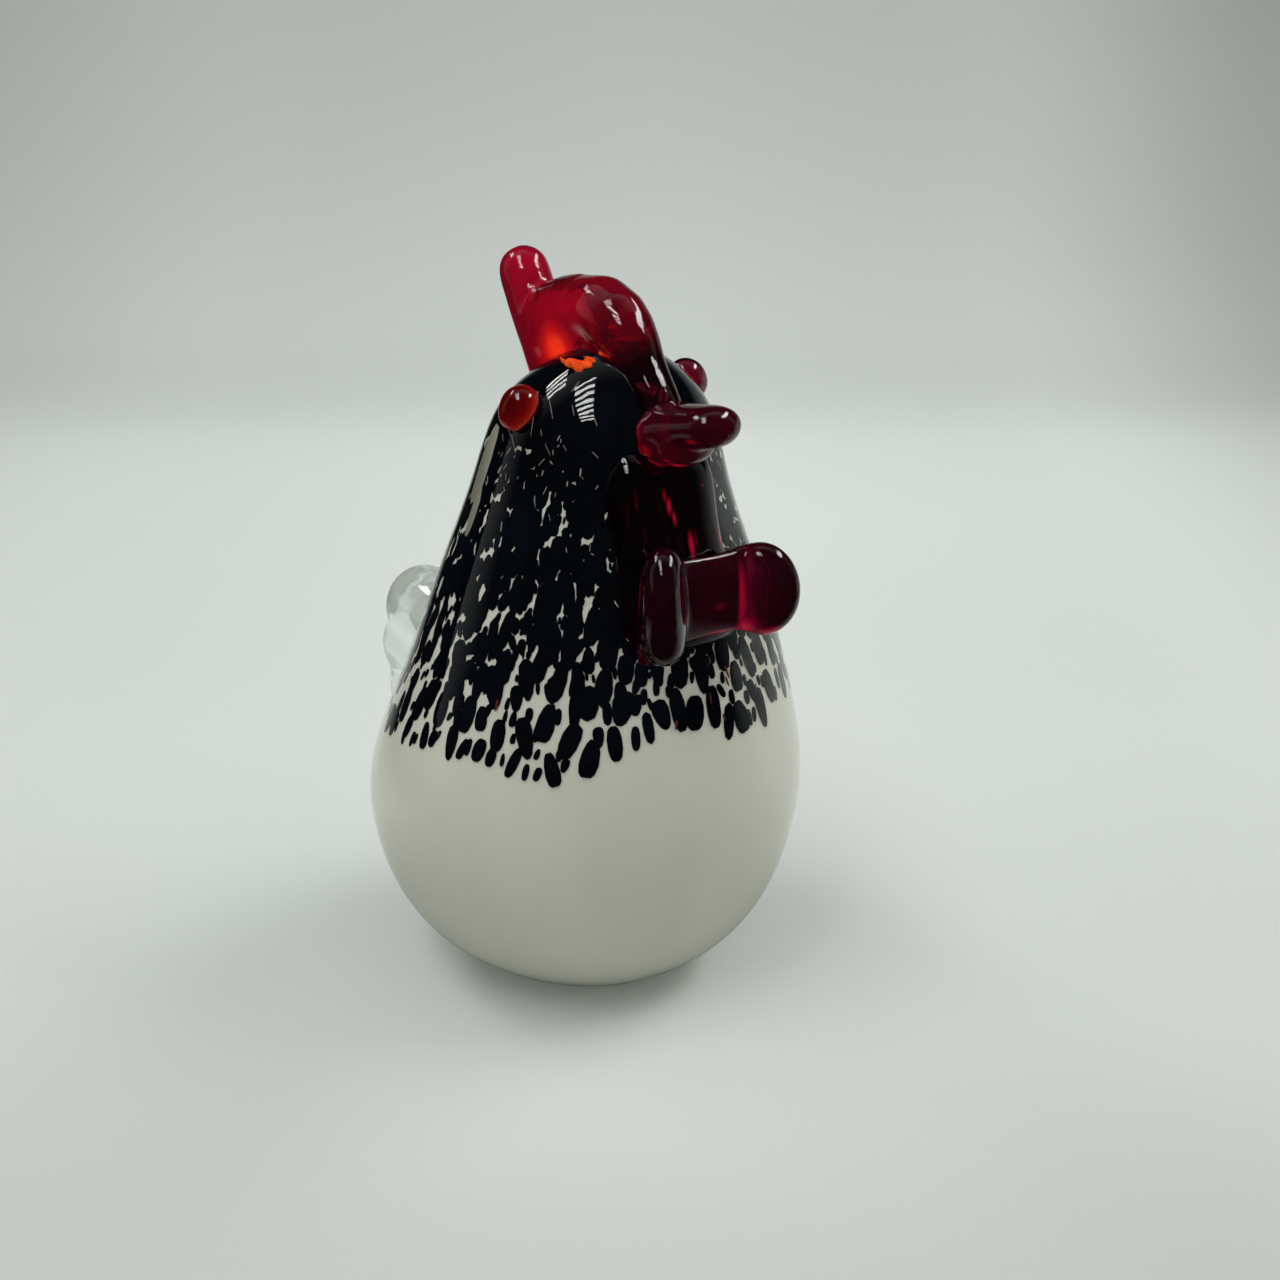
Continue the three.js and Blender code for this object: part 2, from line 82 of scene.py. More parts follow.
def centripetal(points, t):
    """A point of the centripetal Catmull-Rom curve through the points, at 0 to 1 along it."""
    last = len(points) - 1
    i = min(max(math.floor(last * t), 0), last - 1)
    w = last * t - i
    p1, p2 = points[i], points[i + 1]
    p0 = points[i - 1] if i > 0 else 2 * p1 - p2
    p3 = points[i + 2] if i + 2 <= last else 2 * p2 - p1
    d0, d1, d2 = (max((b - a).length ** 0.5, 1e-4) for a, b in ((p0, p1), (p1, p2), (p2, p3)))
    t1 = ((p1 - p0) / d0 - (p2 - p0) / (d0 + d1) + (p2 - p1) / d1) * d1
    t2 = ((p2 - p1) / d1 - (p3 - p1) / (d1 + d2) + (p3 - p2) / d2) * d1
    c2 = -3 * p1 + 3 * p2 - 2 * t1 - t2
    c3 = 2 * p1 - 2 * p2 + t1 + t2
    return p1 + t1 * w + c2 * w * w + c3 * w ** 3


def outline_points():
    """The stations as vectors, run on past both poles, so that the crown and underside close round."""
    real = [Vector(s) for s in STATIONS]
    mirrored = [Vector((-p.x, p.y, p.z)) for p in (real[1], real[-2])]
    return [mirrored[0], *real, mirrored[1]]


OUTLINE = outline_points()
FIRST = 1 / (len(STATIONS) + 1)
SPAN = (len(STATIONS) - 1) / (len(STATIONS) + 1)


def smooth_step(value, low, high):
    share = min(max((value - low) / (high - low), 0), 1)
    return share * share * (3 - 2 * share)


def casing_depth(height):
    """Thickness of the clear casing at a height."""
    return CASING_BELLY + (CASING_HEAD - CASING_BELLY) * smooth_step(height, *CASING_SWELL)


def outline_at(share, depth_at):
    """Radius, lean and height of the outline at a share of its length, moved in by a depth."""
    t = FIRST + SPAN * share
    here = centripetal(OUTLINE, t)
    slope = centripetal(OUTLINE, t + 1e-3) - centripetal(OUTLINE, t - 1e-3)
    length = math.hypot(slope.x, slope.z)
    depth = depth_at(here.z)
    return here.x - slope.z / length * depth, here.y, here.z + slope.x / length * depth


def profile_table(depth_at):
    return [outline_at(k / 400, depth_at) for k in range(401)]


def core_depth(height):
    return casing_depth(height) + SEAT


OUTER = profile_table(lambda z: 0)
CORE = profile_table(core_depth)


def ring_at(table, height):
    """Radius and lean of a profile table at a height."""
    for (r0, l0, z0), (r1, l1, z1) in zip(table, table[1:]):
        if z0 <= height <= z1:
            w = (height - z0) / max(z1 - z0, 1e-9)
            return r0 + (r1 - r0) * w, l0 + (l1 - l0) * w
    return 0.0, table[-1][1]


def on_skin(table, bearing, height, out=0.0):
    """A point on a profile's surface at a bearing in degrees from straight ahead, moved out level."""
    radius, lean = ring_at(table, height)
    angle = math.radians(bearing)
    reach = radius + out
    return Vector((reach * math.sin(angle), -lean - reach * math.cos(angle), height))


def skin_axes(table, bearing, height):
    """Directions along, out of and up the surface there, right-handed."""
    up = (on_skin(table, bearing, height + 0.4) - on_skin(table, bearing, height - 0.4)).normalized()
    angle = math.radians(bearing)
    along = Vector((-math.cos(angle), -math.sin(angle), 0))
    out = up.cross(along).normalized()
    return along, out, up


# Modelling helpers

def clear_selection():
    if bpy.context.object and bpy.context.object.mode != "OBJECT":
        bpy.ops.object.mode_set(mode="OBJECT")
    bpy.ops.object.select_all(action="DESELECT")


def only(obj):
    clear_selection()
    obj.select_set(True)
    bpy.context.view_layer.objects.active = obj


def edit_only(obj, test):
    """Goes into edit mode with only the vertices whose places pass the test selected."""
    only(obj)
    bpy.ops.object.mode_set(mode="EDIT")
    bpy.ops.mesh.select_all(action="DESELECT")
    bpy.ops.object.mode_set(mode="OBJECT")
    for edge in obj.data.edges:
        edge.select = all(test(obj.data.vertices[i].co) for i in edge.vertices)
    for vertex in obj.data.vertices:
        vertex.select = test(vertex.co)
    bpy.ops.object.mode_set(mode="EDIT")


def apply_modifier(obj, name, kind, **settings):
    only(obj)
    modifier = obj.modifiers.new(name, kind)
    for key, value in settings.items():
        setattr(modifier, key, value)
    if "FINISHED" not in bpy.ops.object.modifier_apply(modifier=modifier.name):
        raise RuntimeError(f"{name} could not be applied to {obj.name}")


def subdivide(obj, levels):
    apply_modifier(obj, "Smooth form", "SUBSURF", levels=levels, render_levels=levels)


def bake_place():
    """Leaves the active object at the origin, with its place in its mesh."""
    bpy.ops.object.transform_apply(location=True, rotation=True, scale=True)


def turn(angle, axis, centre):
    """Turns what is selected by a right-handed angle. With no window the operator turns the other way."""
    bpy.ops.transform.rotate(value=-angle, orient_axis=axis, center_override=centre)


def draw_glass(name, rings, sides):
    """A closed body of glass drawn ring by ring: each is x, y, z, half width, half depth and pitch back."""
    clear_selection()
    x, y, z, half, deep = (v * MM for v in rings[0][:5])
    pitch = rings[0][5]
    bpy.ops.mesh.primitive_circle_add(vertices=sides, radius=1.0, fill_type="NOTHING", location=(x, y, z))
    obj = bpy.context.object
    obj.name = name
    bpy.ops.object.mode_set(mode="EDIT")
    bpy.ops.mesh.select_all(action="SELECT")
    bpy.ops.transform.resize(value=(half, deep, 1), center_override=(x, y, z))
    turn(pitch, "X", (x, y, z))
    for ring in rings[1:]:
        nx, ny, nz, wide, thick = (v * MM for v in ring[:5])
        step = (nx - x, ny - y, nz - z)
        bpy.ops.mesh.extrude_edges_move(TRANSFORM_OT_translate={"value": step})
        centre = (nx, ny, nz)
        turn(-pitch, "X", centre)
        bpy.ops.transform.resize(value=(wide / half, thick / deep, 1), center_override=centre)
        turn(ring[5], "X", centre)
        x, y, z, half, deep, pitch = nx, ny, nz, wide, thick, ring[5]
    bpy.ops.mesh.edge_face_add()
    bpy.ops.mesh.select_all(action="DESELECT")
    bpy.ops.mesh.select_mode(type="EDGE")
    bpy.ops.mesh.select_non_manifold()
    bpy.ops.mesh.edge_face_add()
    bpy.ops.mesh.select_all(action="SELECT")
    bpy.ops.mesh.normals_make_consistent(inside=False)
    bpy.ops.object.mode_set(mode="OBJECT")
    bake_place()
    return obj


CAGE = 1.02  # a subdivided cage shrinks by about this much


def rounded_end(distance, radius):
    return math.sqrt(max(0.0, 1 - (1 - min(distance, radius) / radius) ** 2))


def drawn_bit(name, stations, count, sides, tip=0.0):
    """A bit of hot glass along a spine of (x, y, z, half width, half depth), with both ends rounded."""
    spine = [Vector(s[:3]) for s in stations]
    sizes = [Vector((s[3], s[4], 0)) for s in stations]
    fine = [centripetal(spine, k / 200) for k in range(201)]
    reach = [0.0]
    for a, b in zip(fine, fine[1:]):
        reach.append(reach[-1] + (b - a).length)
    total = reach[-1]
    rings = []
    for k in range(1, count):
        along = total * (1 - math.cos(math.pi * k / count)) / 2
        i = next(j for j, value in enumerate(reach) if value >= along)
        t = (i - 1 + (along - reach[i - 1]) / max(reach[i] - reach[i - 1], 1e-9)) / 200
        size = centripetal(sizes, t)
        end = min(size.x, size.y)
        left = min(along, total - along)
        way = (centripetal(spine, min(t + 0.01, 1)) - centripetal(spine, max(t - 0.01, 0))).normalized()
        centre = centripetal(spine, t)
        rings.append((
            centre.x, centre.y, centre.z,
            size.x * rounded_end(left, max(end, tip)) * CAGE,
            size.y * rounded_end(left, end) * CAGE,
            math.atan2(-way.y, way.z),
        ))
    return draw_glass(name, rings, sides)


def join(name, objects):
    only(objects[0])
    for other in objects[1:]:
        other.select_set(True)
    if len(objects) > 1:
        bpy.ops.object.join()
    objects[0].name = name
    return objects[0]


def fuse(obj, voxel, rounds):
    """Melts the overlapping bits of a mesh into one skin, with soft creases."""
    apply_modifier(obj, "Fuse", "REMESH", mode="VOXEL", voxel_size=voxel * MM)
    apply_modifier(obj, "Melt", "SMOOTH", factor=0.5, iterations=rounds)
    subdivide(obj, 1)


def body_form(name, table, first_height=None, sides=48):
    """A closed body from a profile table, cut flat at first_height."""
    rows = [row for row in table if first_height is None or row[2] > first_height + 0.35]
    picked = []
    spacing = 4.6
    for row in rows:
        if not picked or math.hypot(row[0] - picked[-1][0], row[2] - picked[-1][2]) >= spacing:
            picked.append(row)
        if row[2] > CROWN_HEIGHT - 14:
            spacing = 2.6
    rings = [(0, -lean, z, radius, radius, 0) for radius, lean, z in picked if radius > 1.5]
    if first_height is not None:
        radius, lean = ring_at(table, first_height)
        foot = [(0, -lean, first_height, radius * s, radius * s, 0) for s in (0.55, 0.93, 0.985)]
        rings = foot + rings
    _radius, lean, top = rows[-1]
    rings.append((0, -lean, top - 0.02, 0.5, 0.5, 0))
    return draw_glass(name, rings, sides)


def drop(obj):
    mesh = obj.data
    bpy.data.objects.remove(obj)
    bpy.data.meshes.remove(mesh)


def seated(obj):
    """Cuts a hot bit by the form of the body, less how far it sank in."""
    cutter = body_form("seat_cutter", profile_table(lambda z: SINK))
    subdivide(cutter, 1)
    apply_modifier(obj, "Seat", "BOOLEAN", operation="DIFFERENCE", object=cutter, solver="MANIFOLD")
    drop(cutter)


def finish_piece(obj, materials, nodes=()):
    only(obj)
    bake_place()
    bpy.ops.object.shade_smooth_by_angle(angle=math.radians(60))
    obj.data.materials.clear()
    for material in materials:
        obj.data.materials.append(material)
    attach(obj, BODY)
    if nodes:
        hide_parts(*nodes)
    return obj


# Materials

def new_material(name):
    material = bpy.data.materials.new(name)
    material.use_nodes = True
    material.node_tree.nodes.clear()
    return material


def node(tree, kind, inputs=None, **settings):
    """A new node with its settings. Each input is given its value, or the output that feeds it."""
    made = tree.nodes.new(kind)
    for key, value in settings.items():
        setattr(made, key, value)
    for key, value in (inputs or {}).items():
        if isinstance(value, bpy.types.NodeSocket):
            tree.links.new(value, made.inputs[key])
        else:
            made.inputs[key].default_value = value
    return made


def maths(tree, operation, first, second, **settings):
    """The output of a sum on two values or outputs."""
    sums = node(tree, "ShaderNodeMath", {0: first, 1: second}, operation=operation, **settings)
    return sums.outputs["Value"]


def object_place(tree):
    return node(tree, "ShaderNodeTexCoord").outputs["Object"]


def ramp(tree, share, stops, interpolation="LINEAR"):
    """Colours from stops, each a share from 0 to 1 and its colour."""
    made = node(tree, "ShaderNodeValToRGB", {"Fac": share})
    made.color_ramp.interpolation = interpolation
    elements = made.color_ramp.elements
    for _ in stops[2:]:
        elements.new(0.5)
    for element, (position, colour) in zip(elements, stops):
        element.position = position
        element.color = (*colour, 1)
    return made.outputs["Color"]


def noise_group(name, output, pattern, stretch):
    """A node group that gives noise from the object's own coordinates, stretched along its axes."""
    if name in bpy.data.node_groups:
        return bpy.data.node_groups[name]
    tree = bpy.data.node_groups.new(name, "ShaderNodeTree")
    tree.interface.new_socket("Scale", in_out="INPUT", socket_type="NodeSocketFloat")
    tree.interface.new_socket(output, in_out="OUTPUT", socket_type="NodeSocketFloat")
    scale = node(tree, "NodeGroupInput").outputs["Scale"]
    place = node(tree, "ShaderNodeMapping", {"Vector": object_place(tree), "Scale": stretch})
    noise = node(tree, "ShaderNodeTexNoise", {"Vector": place.outputs["Vector"], "Scale": scale, **pattern})
    node(tree, "NodeGroupOutput", {output: noise.outputs["Fac"]})
    return tree


def fire_polish():
    """Height of the slow waves that fire polishing leaves."""
    return noise_group("Fire polish", "Height", {"Detail": 1.0, "Roughness": 0.35}, (1, 1, 1))


def glass_cords():
    """A mask of faint cords and streaks in the glass, drawn out upwards."""
    return noise_group(
        "Glass cords", "Mask", {"Detail": 3.0, "Roughness": 0.55, "Distortion": 0.6}, (1, 1, 0.3))


def two_tones(tree, scale, first, second):
    """A colour that drifts between two tones along the glass cords."""
    cords = node(tree, "ShaderNodeGroup", {"Scale": scale}, node_tree=glass_cords())
    return ramp(tree, cords.outputs["Mask"], ((0.35, first), (0.65, second)))


def wavy_normal(tree, scale, strength, distance):
    """The normal of a fire-polished face, whose waves have a scale, a strength and a height in metres."""
    polish = node(tree, "ShaderNodeGroup", {"Scale": scale}, node_tree=fire_polish())
    return node(tree, "ShaderNodeBump", {
        "Strength": strength,
        "Distance": distance,
        "Height": polish.outputs["Height"],
    }).outputs["Normal"]


def opaque_glass(name, scale, first, second):
    """Opaque glass that lies under the casing."""
    material = new_material(name)
    tree = material.node_tree
    shader = node(tree, "ShaderNodeBsdfPrincipled", {
        "Base Color": two_tones(tree, scale, first, second),
        "Roughness": 0.4,
        "Specular IOR Level": 0.0,
    })
    node(tree, "ShaderNodeOutputMaterial", {"Surface": shader.outputs["BSDF"]})
    return material


def near_place(tree, place, near, far, squeeze=(1, 1, 1)):
    """A mask that is 1 within a distance of a place and falls to 0 farther off.

    Distances are counted in a space squeezed along the axes, so that a place can be drawn out long.
    """
    squeezed = node(tree, "ShaderNodeVectorMath", {0: object_place(tree), 1: squeeze}, operation="MULTIPLY")
    away = node(tree, "ShaderNodeVectorMath", {
        0: squeezed.outputs["Vector"],
        1: Vector(place) * Vector(squeeze) * MM,
    }, operation="DISTANCE")
    return node(tree, "ShaderNodeMapRange", {
        "Value": away.outputs["Value"],
        "From Min": far * MM,
        "From Max": near * MM,
    }, interpolation_type="SMOOTHSTEP").outputs["Result"]


def near_places(tree, places):
    """A mask that is 1 near any of the places."""
    mask = near_place(tree, *places[0])
    for place in places[1:]:
        mask = maths(tree, "MAXIMUM", mask, near_place(tree, *place))
    return mask


def blend_colours(tree, share, first, second, **settings):
    colours = {"Factor": share, "A": first, "B": second}
    return node(tree, "ShaderNodeMix", colours, data_type="RGBA", **settings).outputs["Result"]


def painted_glow_colour(tree, share, glow):
    """The colour of a painted glow, emitted light where no lamp is, which is a deeper red towards its edge."""
    red, green, blue = glow
    return ramp(tree, share, ((0, (0, 0, 0)), (0.55, (red * 0.42, green * 0.08, blue * 0.4)), (1, glow)))


SHADE_TINT = (0.05, 0.004, 0.014, 1)


def see_through_glass(
    name, tint_pair, absorb, density, waves, roughness=0.0, clear=1.0,
    glows=(), glow_tint=(0.95, 0.12, 0.05), glow=(0.60, 0.028, 0.004), shades=(),
):
    """Clear or coloured glass. Its colour comes from how far light runs inside it.

    What isn't clear of it is cloudy. Near the places in glows its colour is painted brighter and it is given
    an emitted glow, painted light where light shines through; near those in shades it is painted darker,
    painted shade. Lamps shine through it. The waves are those of wavy_normal.
    """
    material = new_material(name)
    tree = material.node_tree
    tint = two_tones(tree, 60, *tint_pair)
    shader = node(tree, "ShaderNodeBsdfPrincipled", {
        "Roughness": roughness,
        "IOR": 1.5,
        "Transmission Weight": clear,
        "Normal": wavy_normal(tree, *waves),
    })
    # Painted shade: a dark colour near the places in shades.
    if shades:
        tint = blend_colours(tree, near_places(tree, shades), tint, SHADE_TINT)
    # Painted light: a brighter colour and an emitted glow near the places in glows.
    if glows:
        bright = near_places(tree, glows)
        tint = blend_colours(tree, bright, tint, (*glow_tint, 1))
        tree.links.new(painted_glow_colour(tree, bright, glow), shader.inputs["Emission Color"])
        shader.inputs["Emission Strength"].default_value = 1.0
    tree.links.new(tint, shader.inputs["Base Color"])
    path = node(tree, "ShaderNodeLightPath").outputs
    passing = node(tree, "ShaderNodeBsdfTransparent")
    surface = node(tree, "ShaderNodeMixShader", {
        "Fac": maths(tree, "MAXIMUM", path["Is Shadow Ray"], path["Is Diffuse Ray"]),
        1: shader.outputs["BSDF"],
        2: passing.outputs["BSDF"],
    })
    volume = node(tree, "ShaderNodeVolumeAbsorption", {"Color": (*absorb, 1), "Density": density})
    node(tree, "ShaderNodeOutputMaterial", {
        "Surface": surface.outputs["Shader"],
        "Volume": volume.outputs["Volume"],
    })
    return material


def scale_pair(colour, spread):
    return tuple(c * (1 - spread) for c in colour), tuple(min(1.0, c * (1 + spread)) for c in colour)


# Settings that a user would change

def glass_colour(name, description, default):
    return FloatVectorProperty(
        name=name, description=description, subtype="COLOR", size=3, min=0, max=1, default=default)


class BodySettings(PropertyGroup):
    sides: IntProperty(name="Sides", description="Sides of the body's cage", default=48, min=24, max=96)
    opal: glass_colour(
        "Opal", "Colour of the opaque white glass", (0.59, 0.57, 0.495))
    casing: glass_colour(
        "Casing", "Tint that the clear casing leaves in light", (0.62, 0.82, 0.74))


class FritSettings(PropertyGroup):
    seed: IntProperty(name="Seed", description="Another seed scatters the chips another way", default=11)
    black: glass_colour(
        "Black", "Colour of the black chips", (0.0012, 0.002, 0.0036))
    chip_width: FloatProperty(
        name="Chip width", description="Middle width of the chips at the margin", unit="LENGTH",
        default=0.0021)
    chip_length: FloatProperty(
        name="Chip length", description="Middle length of the chips at the margin", unit="LENGTH",
        default=0.0048)


class RubySettings(PropertyGroup):
    ruby: glass_colour(
        "Ruby", "What the comb's glass leaves in light", (0.83, 0.02, 0.31))
    ruby_depth: FloatProperty(
        name="Ruby depth", description="How strongly the comb's glass colours light, per metre",
        default=520.0)
    plum: glass_colour(
        "Plum", "What the wattles' darker glass leaves in light", (0.40, 0.016, 0.24))
    plum_depth: FloatProperty(
        name="Plum depth", description="How strongly the darker glass colours light, per metre",
        default=560.0)


class StageSettings(PropertyGroup):
    floor: glass_colour(
        "Floor", "Colour of the floor", (0.62, 0.655, 0.63))
    lamp_power: FloatProperty(
        name="Lamp power", description="Power of each strip lamp", default=1.12, unit="POWER")


# Operators

class HEN_OT_opal_body(Operator):
    """Model the opaque white body inside the casing"""

    bl_idname = "hen.opal_body"
    bl_label = "White body"

    def execute(self, context):
        settings = context.scene.hen_body
        body = body_form("opal_body", CORE, CORE_FOOT, settings.sides)
        subdivide(body, 2)
        opal = opaque_glass("Opal glass", 55, *scale_pair(settings.opal, 0.025))
        finish_piece(body, [opal], ("opal_core",))
        return {"FINISHED"}


class HEN_OT_casing(Operator):
    """Model the clear casing as one solid of glass that the white body sits in"""

    bl_idname = "hen.casing"
    bl_label = "Clear casing"

    def execute(self, context):
        settings = context.scene.hen_body
        casing = body_form("casing_glass", OUTER, 0.0, settings.sides)
        subdivide(casing, 2)
        clear = see_through_glass(
            "Casing glass", ((0.97, 0.985, 0.975), (1, 1, 1)), settings.casing, density=25.0,
            waves=(38, 0.25, 0.0006))
        ground = see_through_glass(
            "Ground glass", ((0.93, 0.94, 0.93), (0.97, 0.98, 0.97)), settings.casing, density=40.0,
            waves=(900, 0.3, 0.0002), roughness=0.35)
        finish_piece(casing, [clear, ground], ("clear_casing",))
        for face in casing.data.polygons:
            if face.normal.z < -0.98 and face.center.z < 0.0002:
                face.material_index = 1
        return {"FINISHED"}


# Lowest chips, as bearing from straight ahead and height
MARGIN = (
    (-180, 50.5), (-160, 48.5), (-140, 49.5), (-125, 46.5), (-107, 47.1), (-90, 48.8), (-73, 50.5),
    (-60, 50.5), (-52, 48.6), (-39, 51.3), (-25, 54.2), (-9, 55.1), (13, 53.3), (25, 54.0), (37, 54.9),
    (60, 51), (80, 49.5), (100, 51.5), (120, 48.5), (140, 50), (160, 49), (180, 50.5),
)


def margin_at(bearing):
    for (b0, h0), (b1, h1) in zip(MARGIN, MARGIN[1:]):
        if b0 <= bearing <= b1:
            return h0 + (h1 - h0) * (bearing - b0) / (b1 - b0)
    return MARGIN[0][1]


# Outlines of a chip: how much it widens upward, and how wide its ends stay
CHIP_KINDS = (("oval", 0, 1), ("drop", 0.5, 0.8), ("leaf", 0.1, 0.35), ("blunt", -0.35, 1.1))


def chip_shapes(prefix, sides, heights, widths):
    """Four melted chips, each one unit long, modelled once and copied from."""
    shapes = []
    for kind, taper, pointed in CHIP_KINDS:
        rings = []
        for k, (height, width) in enumerate(zip(heights, widths)):
            drawn = width * (1 + taper * height)
            if k in (0, len(heights) - 1):
                drawn *= pointed
            rings.append((0, 0, height / MM, drawn / MM, drawn / MM, 0))
        shapes.append(draw_glass(f"{prefix}_{kind}", rings, sides))
    return shapes


def place_copy(shape, matrix, name):
    copy = bpy.data.objects.new(name, shape.data.copy())
    copy.data.transform(matrix)
    bpy.context.scene.collection.objects.link(copy)
    return copy


# Chip sizes as shares of the middle one, each with how many are thrown
CHIP_SIZES = ((1.35, 1500), (1.15, 2500), (0.95, 4000), (0.75, 6000), (0.55, 9000), (0.4, 9000), (0.28, 9000))
CHIP_CELL = 7.5
CHIP_TOP = 101
MARGIN_BAND = 13  # chips within this rise of the margin are seen one by one
FUSED_THROWS = 3600
THROAT_BEARING = 34  # under the throat ribbon the black is whole
THROAT_LOW = 67


def scatter_chips(rng, width, length):
    """Places of the chips, large ones first: bearing, height, rise over the margin, halves and tilt.

    They just touch at the margin, and lie over each other more and more higher up.
    """
    chips = []
    cells = {}

    def crowded(along, height, size, closeness):
        column, row = int(along // CHIP_CELL), int(height // CHIP_CELL)
        for i in range(column - 1, column + 2):
            for j in range(row - 1, row + 2):
                for other_along, other_height, other in cells.get((i, j), ()):
                    reach = (size + other) * closeness
                    across = (along - other_along) / (width / 2)
                    upward = (height - other_height) / (length / 2)
                    if across * across + upward * upward < reach * reach:
                        return True
        return False

    for size, throws in CHIP_SIZES:
        for _ in range(throws):
            height = rng.uniform(43, CHIP_TOP)
            radius, _lean = ring_at(CORE, height)
            bearing = rng.uniform(-180, 180)
            if rng.random() > radius / 36:
                continue
            rise = height - margin_at(bearing)
            if rise < 0 or (size < 0.3 and rise < 9):
                continue
            upness = smooth_step(rise, 6, 30)
            scale = size * (1 - 0.15 * upness)
            along = math.radians(bearing) * radius
            if crowded(along, height, scale, 0.97 - 0.24 * upness):
                continue
            if rise < 7 and size > 0.5 and rng.random() < 0.3:
                continue
            cells.setdefault((int(along // CHIP_CELL), int(height // CHIP_CELL)), []).append(
                (along, height, scale))
            stretch = rng.uniform(0.85, 1.15)
            chips.append((
                bearing, height, rise, width / 2 * scale / stretch, length / 2 * scale * stretch,
                rng.gauss(0, 9),
            ))
    return chips + fused_chips(rng, width, length)


def fused_chips(rng, width, length):
    """Chips thrown on top with no regard to the others, so that they run together more and more higher up."""
    chips = []
    for _ in range(FUSED_THROWS):
        height = rng.uniform(47, CHIP_TOP)
        bearing = rng.uniform(-180, 180)
        radius, _lean = ring_at(CORE, height)
        rise = height - margin_at(bearing)
        share = 0.48 * smooth_step(rise, 3, 18) + 0.52 * smooth_step(rise, 20, 38)
        if abs(bearing) < THROAT_BEARING and height > THROAT_LOW:
            share = 1.0
        if rise < 1 or rng.random() > share * radius / 36:
            continue
        scale = rng.choice((0.5, 0.65, 0.8, 1.0))
        chips.append((
            bearing, height, rise, width / 2 * scale, length / 2 * scale * rng.uniform(0.8, 1.2),
            rng.gauss(0, 16),
        ))
    return chips


SLIVERS_AROUND = 170
SLIVERS_BY_EYE = 12
BROWN_THREADS = 9
# Bare streaks of the pale body, in an opal painted darker than the body's as painted shade: bearing, height,
# half width, half length and tilt
BARE_PATCHES = (
    (-113, 91.5, 2.0, 7.4, -3),
    (-108, 85, 1.1, 4.6, 5),
)


class HEN_OT_frit(Operator):
    """Model the coat of black frit: a melted cap, separate chips that thin out below it, and bare slivers"""

    bl_idname = "hen.frit"
    bl_label = "Black frit"

    def execute(self, context):
        settings = context.scene.hen_frit
        rng = random.Random(settings.seed)
        black = opaque_glass("Black frit glass", 160, *scale_pair(settings.black, 0.3))
        brown = opaque_glass("Brown frit glass", 160, (0.05, 0.012, 0.01), (0.11, 0.03, 0.022))
        # The bare slivers' opal is a darker copy of the body's opal: painted shade.
        opal = opaque_glass("Shaded bare opal glass", 120, (0.20, 0.19, 0.15), (0.32, 0.31, 0.25))

        cap = body_form("frit_melt", profile_table(lambda z: core_depth(z) - 0.12), 97.0)
        subdivide(cap, 2)
        finish_piece(cap, [black], ("frit_cap",))

        margin_shapes = chip_shapes(
            "margin_chip", 12, (-0.5, -0.4, -0.16, 0.16, 0.4, 0.5), (0.2, 0.38, 0.5, 0.5, 0.38, 0.2))
        upper_shapes = chip_shapes(
            "upper_chip", 8, (-0.5, -0.34, 0, 0.34, 0.5), (0.18, 0.42, 0.52, 0.42, 0.18))
        margin, dense, upper = [], [], []
        for bearing, height, rise, half_width, half_length, tilt in scatter_chips(
            rng, settings.chip_width / MM, settings.chip_length / MM,
        ):
            low = rise < MARGIN_BAND
            shape = rng.choice(margin_shapes if low else upper_shapes)
            chip = self.melted(shape, bearing, height, half_width, half_length, tilt, half_depth=0.34)
            (margin if low else dense if height < 78 else upper).append(chip)
        finish_piece(
            join("frit_margin", margin), [black], [f"frit_chip_{i:02d}" for i in range(1, 11)])
        finish_piece(join("frit_dense", dense), [black])
        finish_piece(join("frit_upper", upper), [black])
        shapes = margin_shapes + upper_shapes

        slivers = []
        for _ in range(SLIVERS_AROUND):
            bearing = rng.uniform(-180, 180)
            height = rng.triangular(76, 105, 94)
            if abs(bearing) < THROAT_BEARING:
                continue
            half_width = rng.uniform(0.03, 0.11)
            slivers.append(self.melted(
                shapes[2], bearing, height, half_width, rng.uniform(0.2, 0.85), rng.gauss(0, 28),
                half_depth=0.12, out=0.36))
        for _ in range(SLIVERS_BY_EYE):
            slivers.append(self.melted(
                shapes[2], rng.uniform(-112, -50), rng.uniform(97, 106), rng.uniform(0.025, 0.05),
                rng.uniform(0.5, 1.8), rng.gauss(28, 22), half_depth=0.12, out=0.36))
        for bearing, height, half_width, half_length, tilt in BARE_PATCHES:
            slivers.append(self.melted(
                shapes[0], bearing, height, half_width, half_length, tilt, half_depth=0.2, out=0.36))
        bare = join("bare_slivers", slivers)
        finish_piece(bare, [opal])

        threads = [
            self.melted(shapes[0], rng.uniform(-75, 30), rng.uniform(54, 64), 0.2, rng.uniform(0.6, 1.3),
                        rng.gauss(0, 20), half_depth=0.12, out=0.33)
            for _ in range(BROWN_THREADS)
        ]
        finish_piece(join("brown_threads", threads), [brown])
        for shape in shapes:
            drop(shape)
        return {"FINISHED"}

    @staticmethod
    def melted(shape, bearing, height, half_width, half_length, tilt, half_depth, out=0.0):
        """A copy of a chip, laid on the white body and pressed flat."""
        along, outward, up = skin_axes(CORE, bearing, height)
        lean = Matrix.Rotation(math.radians(tilt), 3, outward)
        axes = Matrix((lean @ along, outward, lean @ up)).transposed().to_4x4()
        place = Matrix.Translation((on_skin(CORE, bearing, height) + outward * out) * MM)
        size = Matrix.Diagonal((2 * half_width * MM, 2 * half_depth * MM, 2 * half_length * MM, 1))
        return place_copy(shape, place @ axes @ size, "melted_chip")


FINGER_ROOT = Vector((0, 11.7, 98.8))
FINGER_TILT = math.radians(29.5)
ARCH_RADIUS = 8.8


def finger_station(along, half, deep):
    """A station of the comb's rear finger, whose rear edge is straight."""
    way = Vector((0, math.sin(FINGER_TILT), math.cos(FINGER_TILT)))
    ahead = Vector((0, -math.cos(FINGER_TILT), math.sin(FINGER_TILT)))
    place = FINGER_ROOT + way * along + ahead * deep
    return (*place, half, deep)


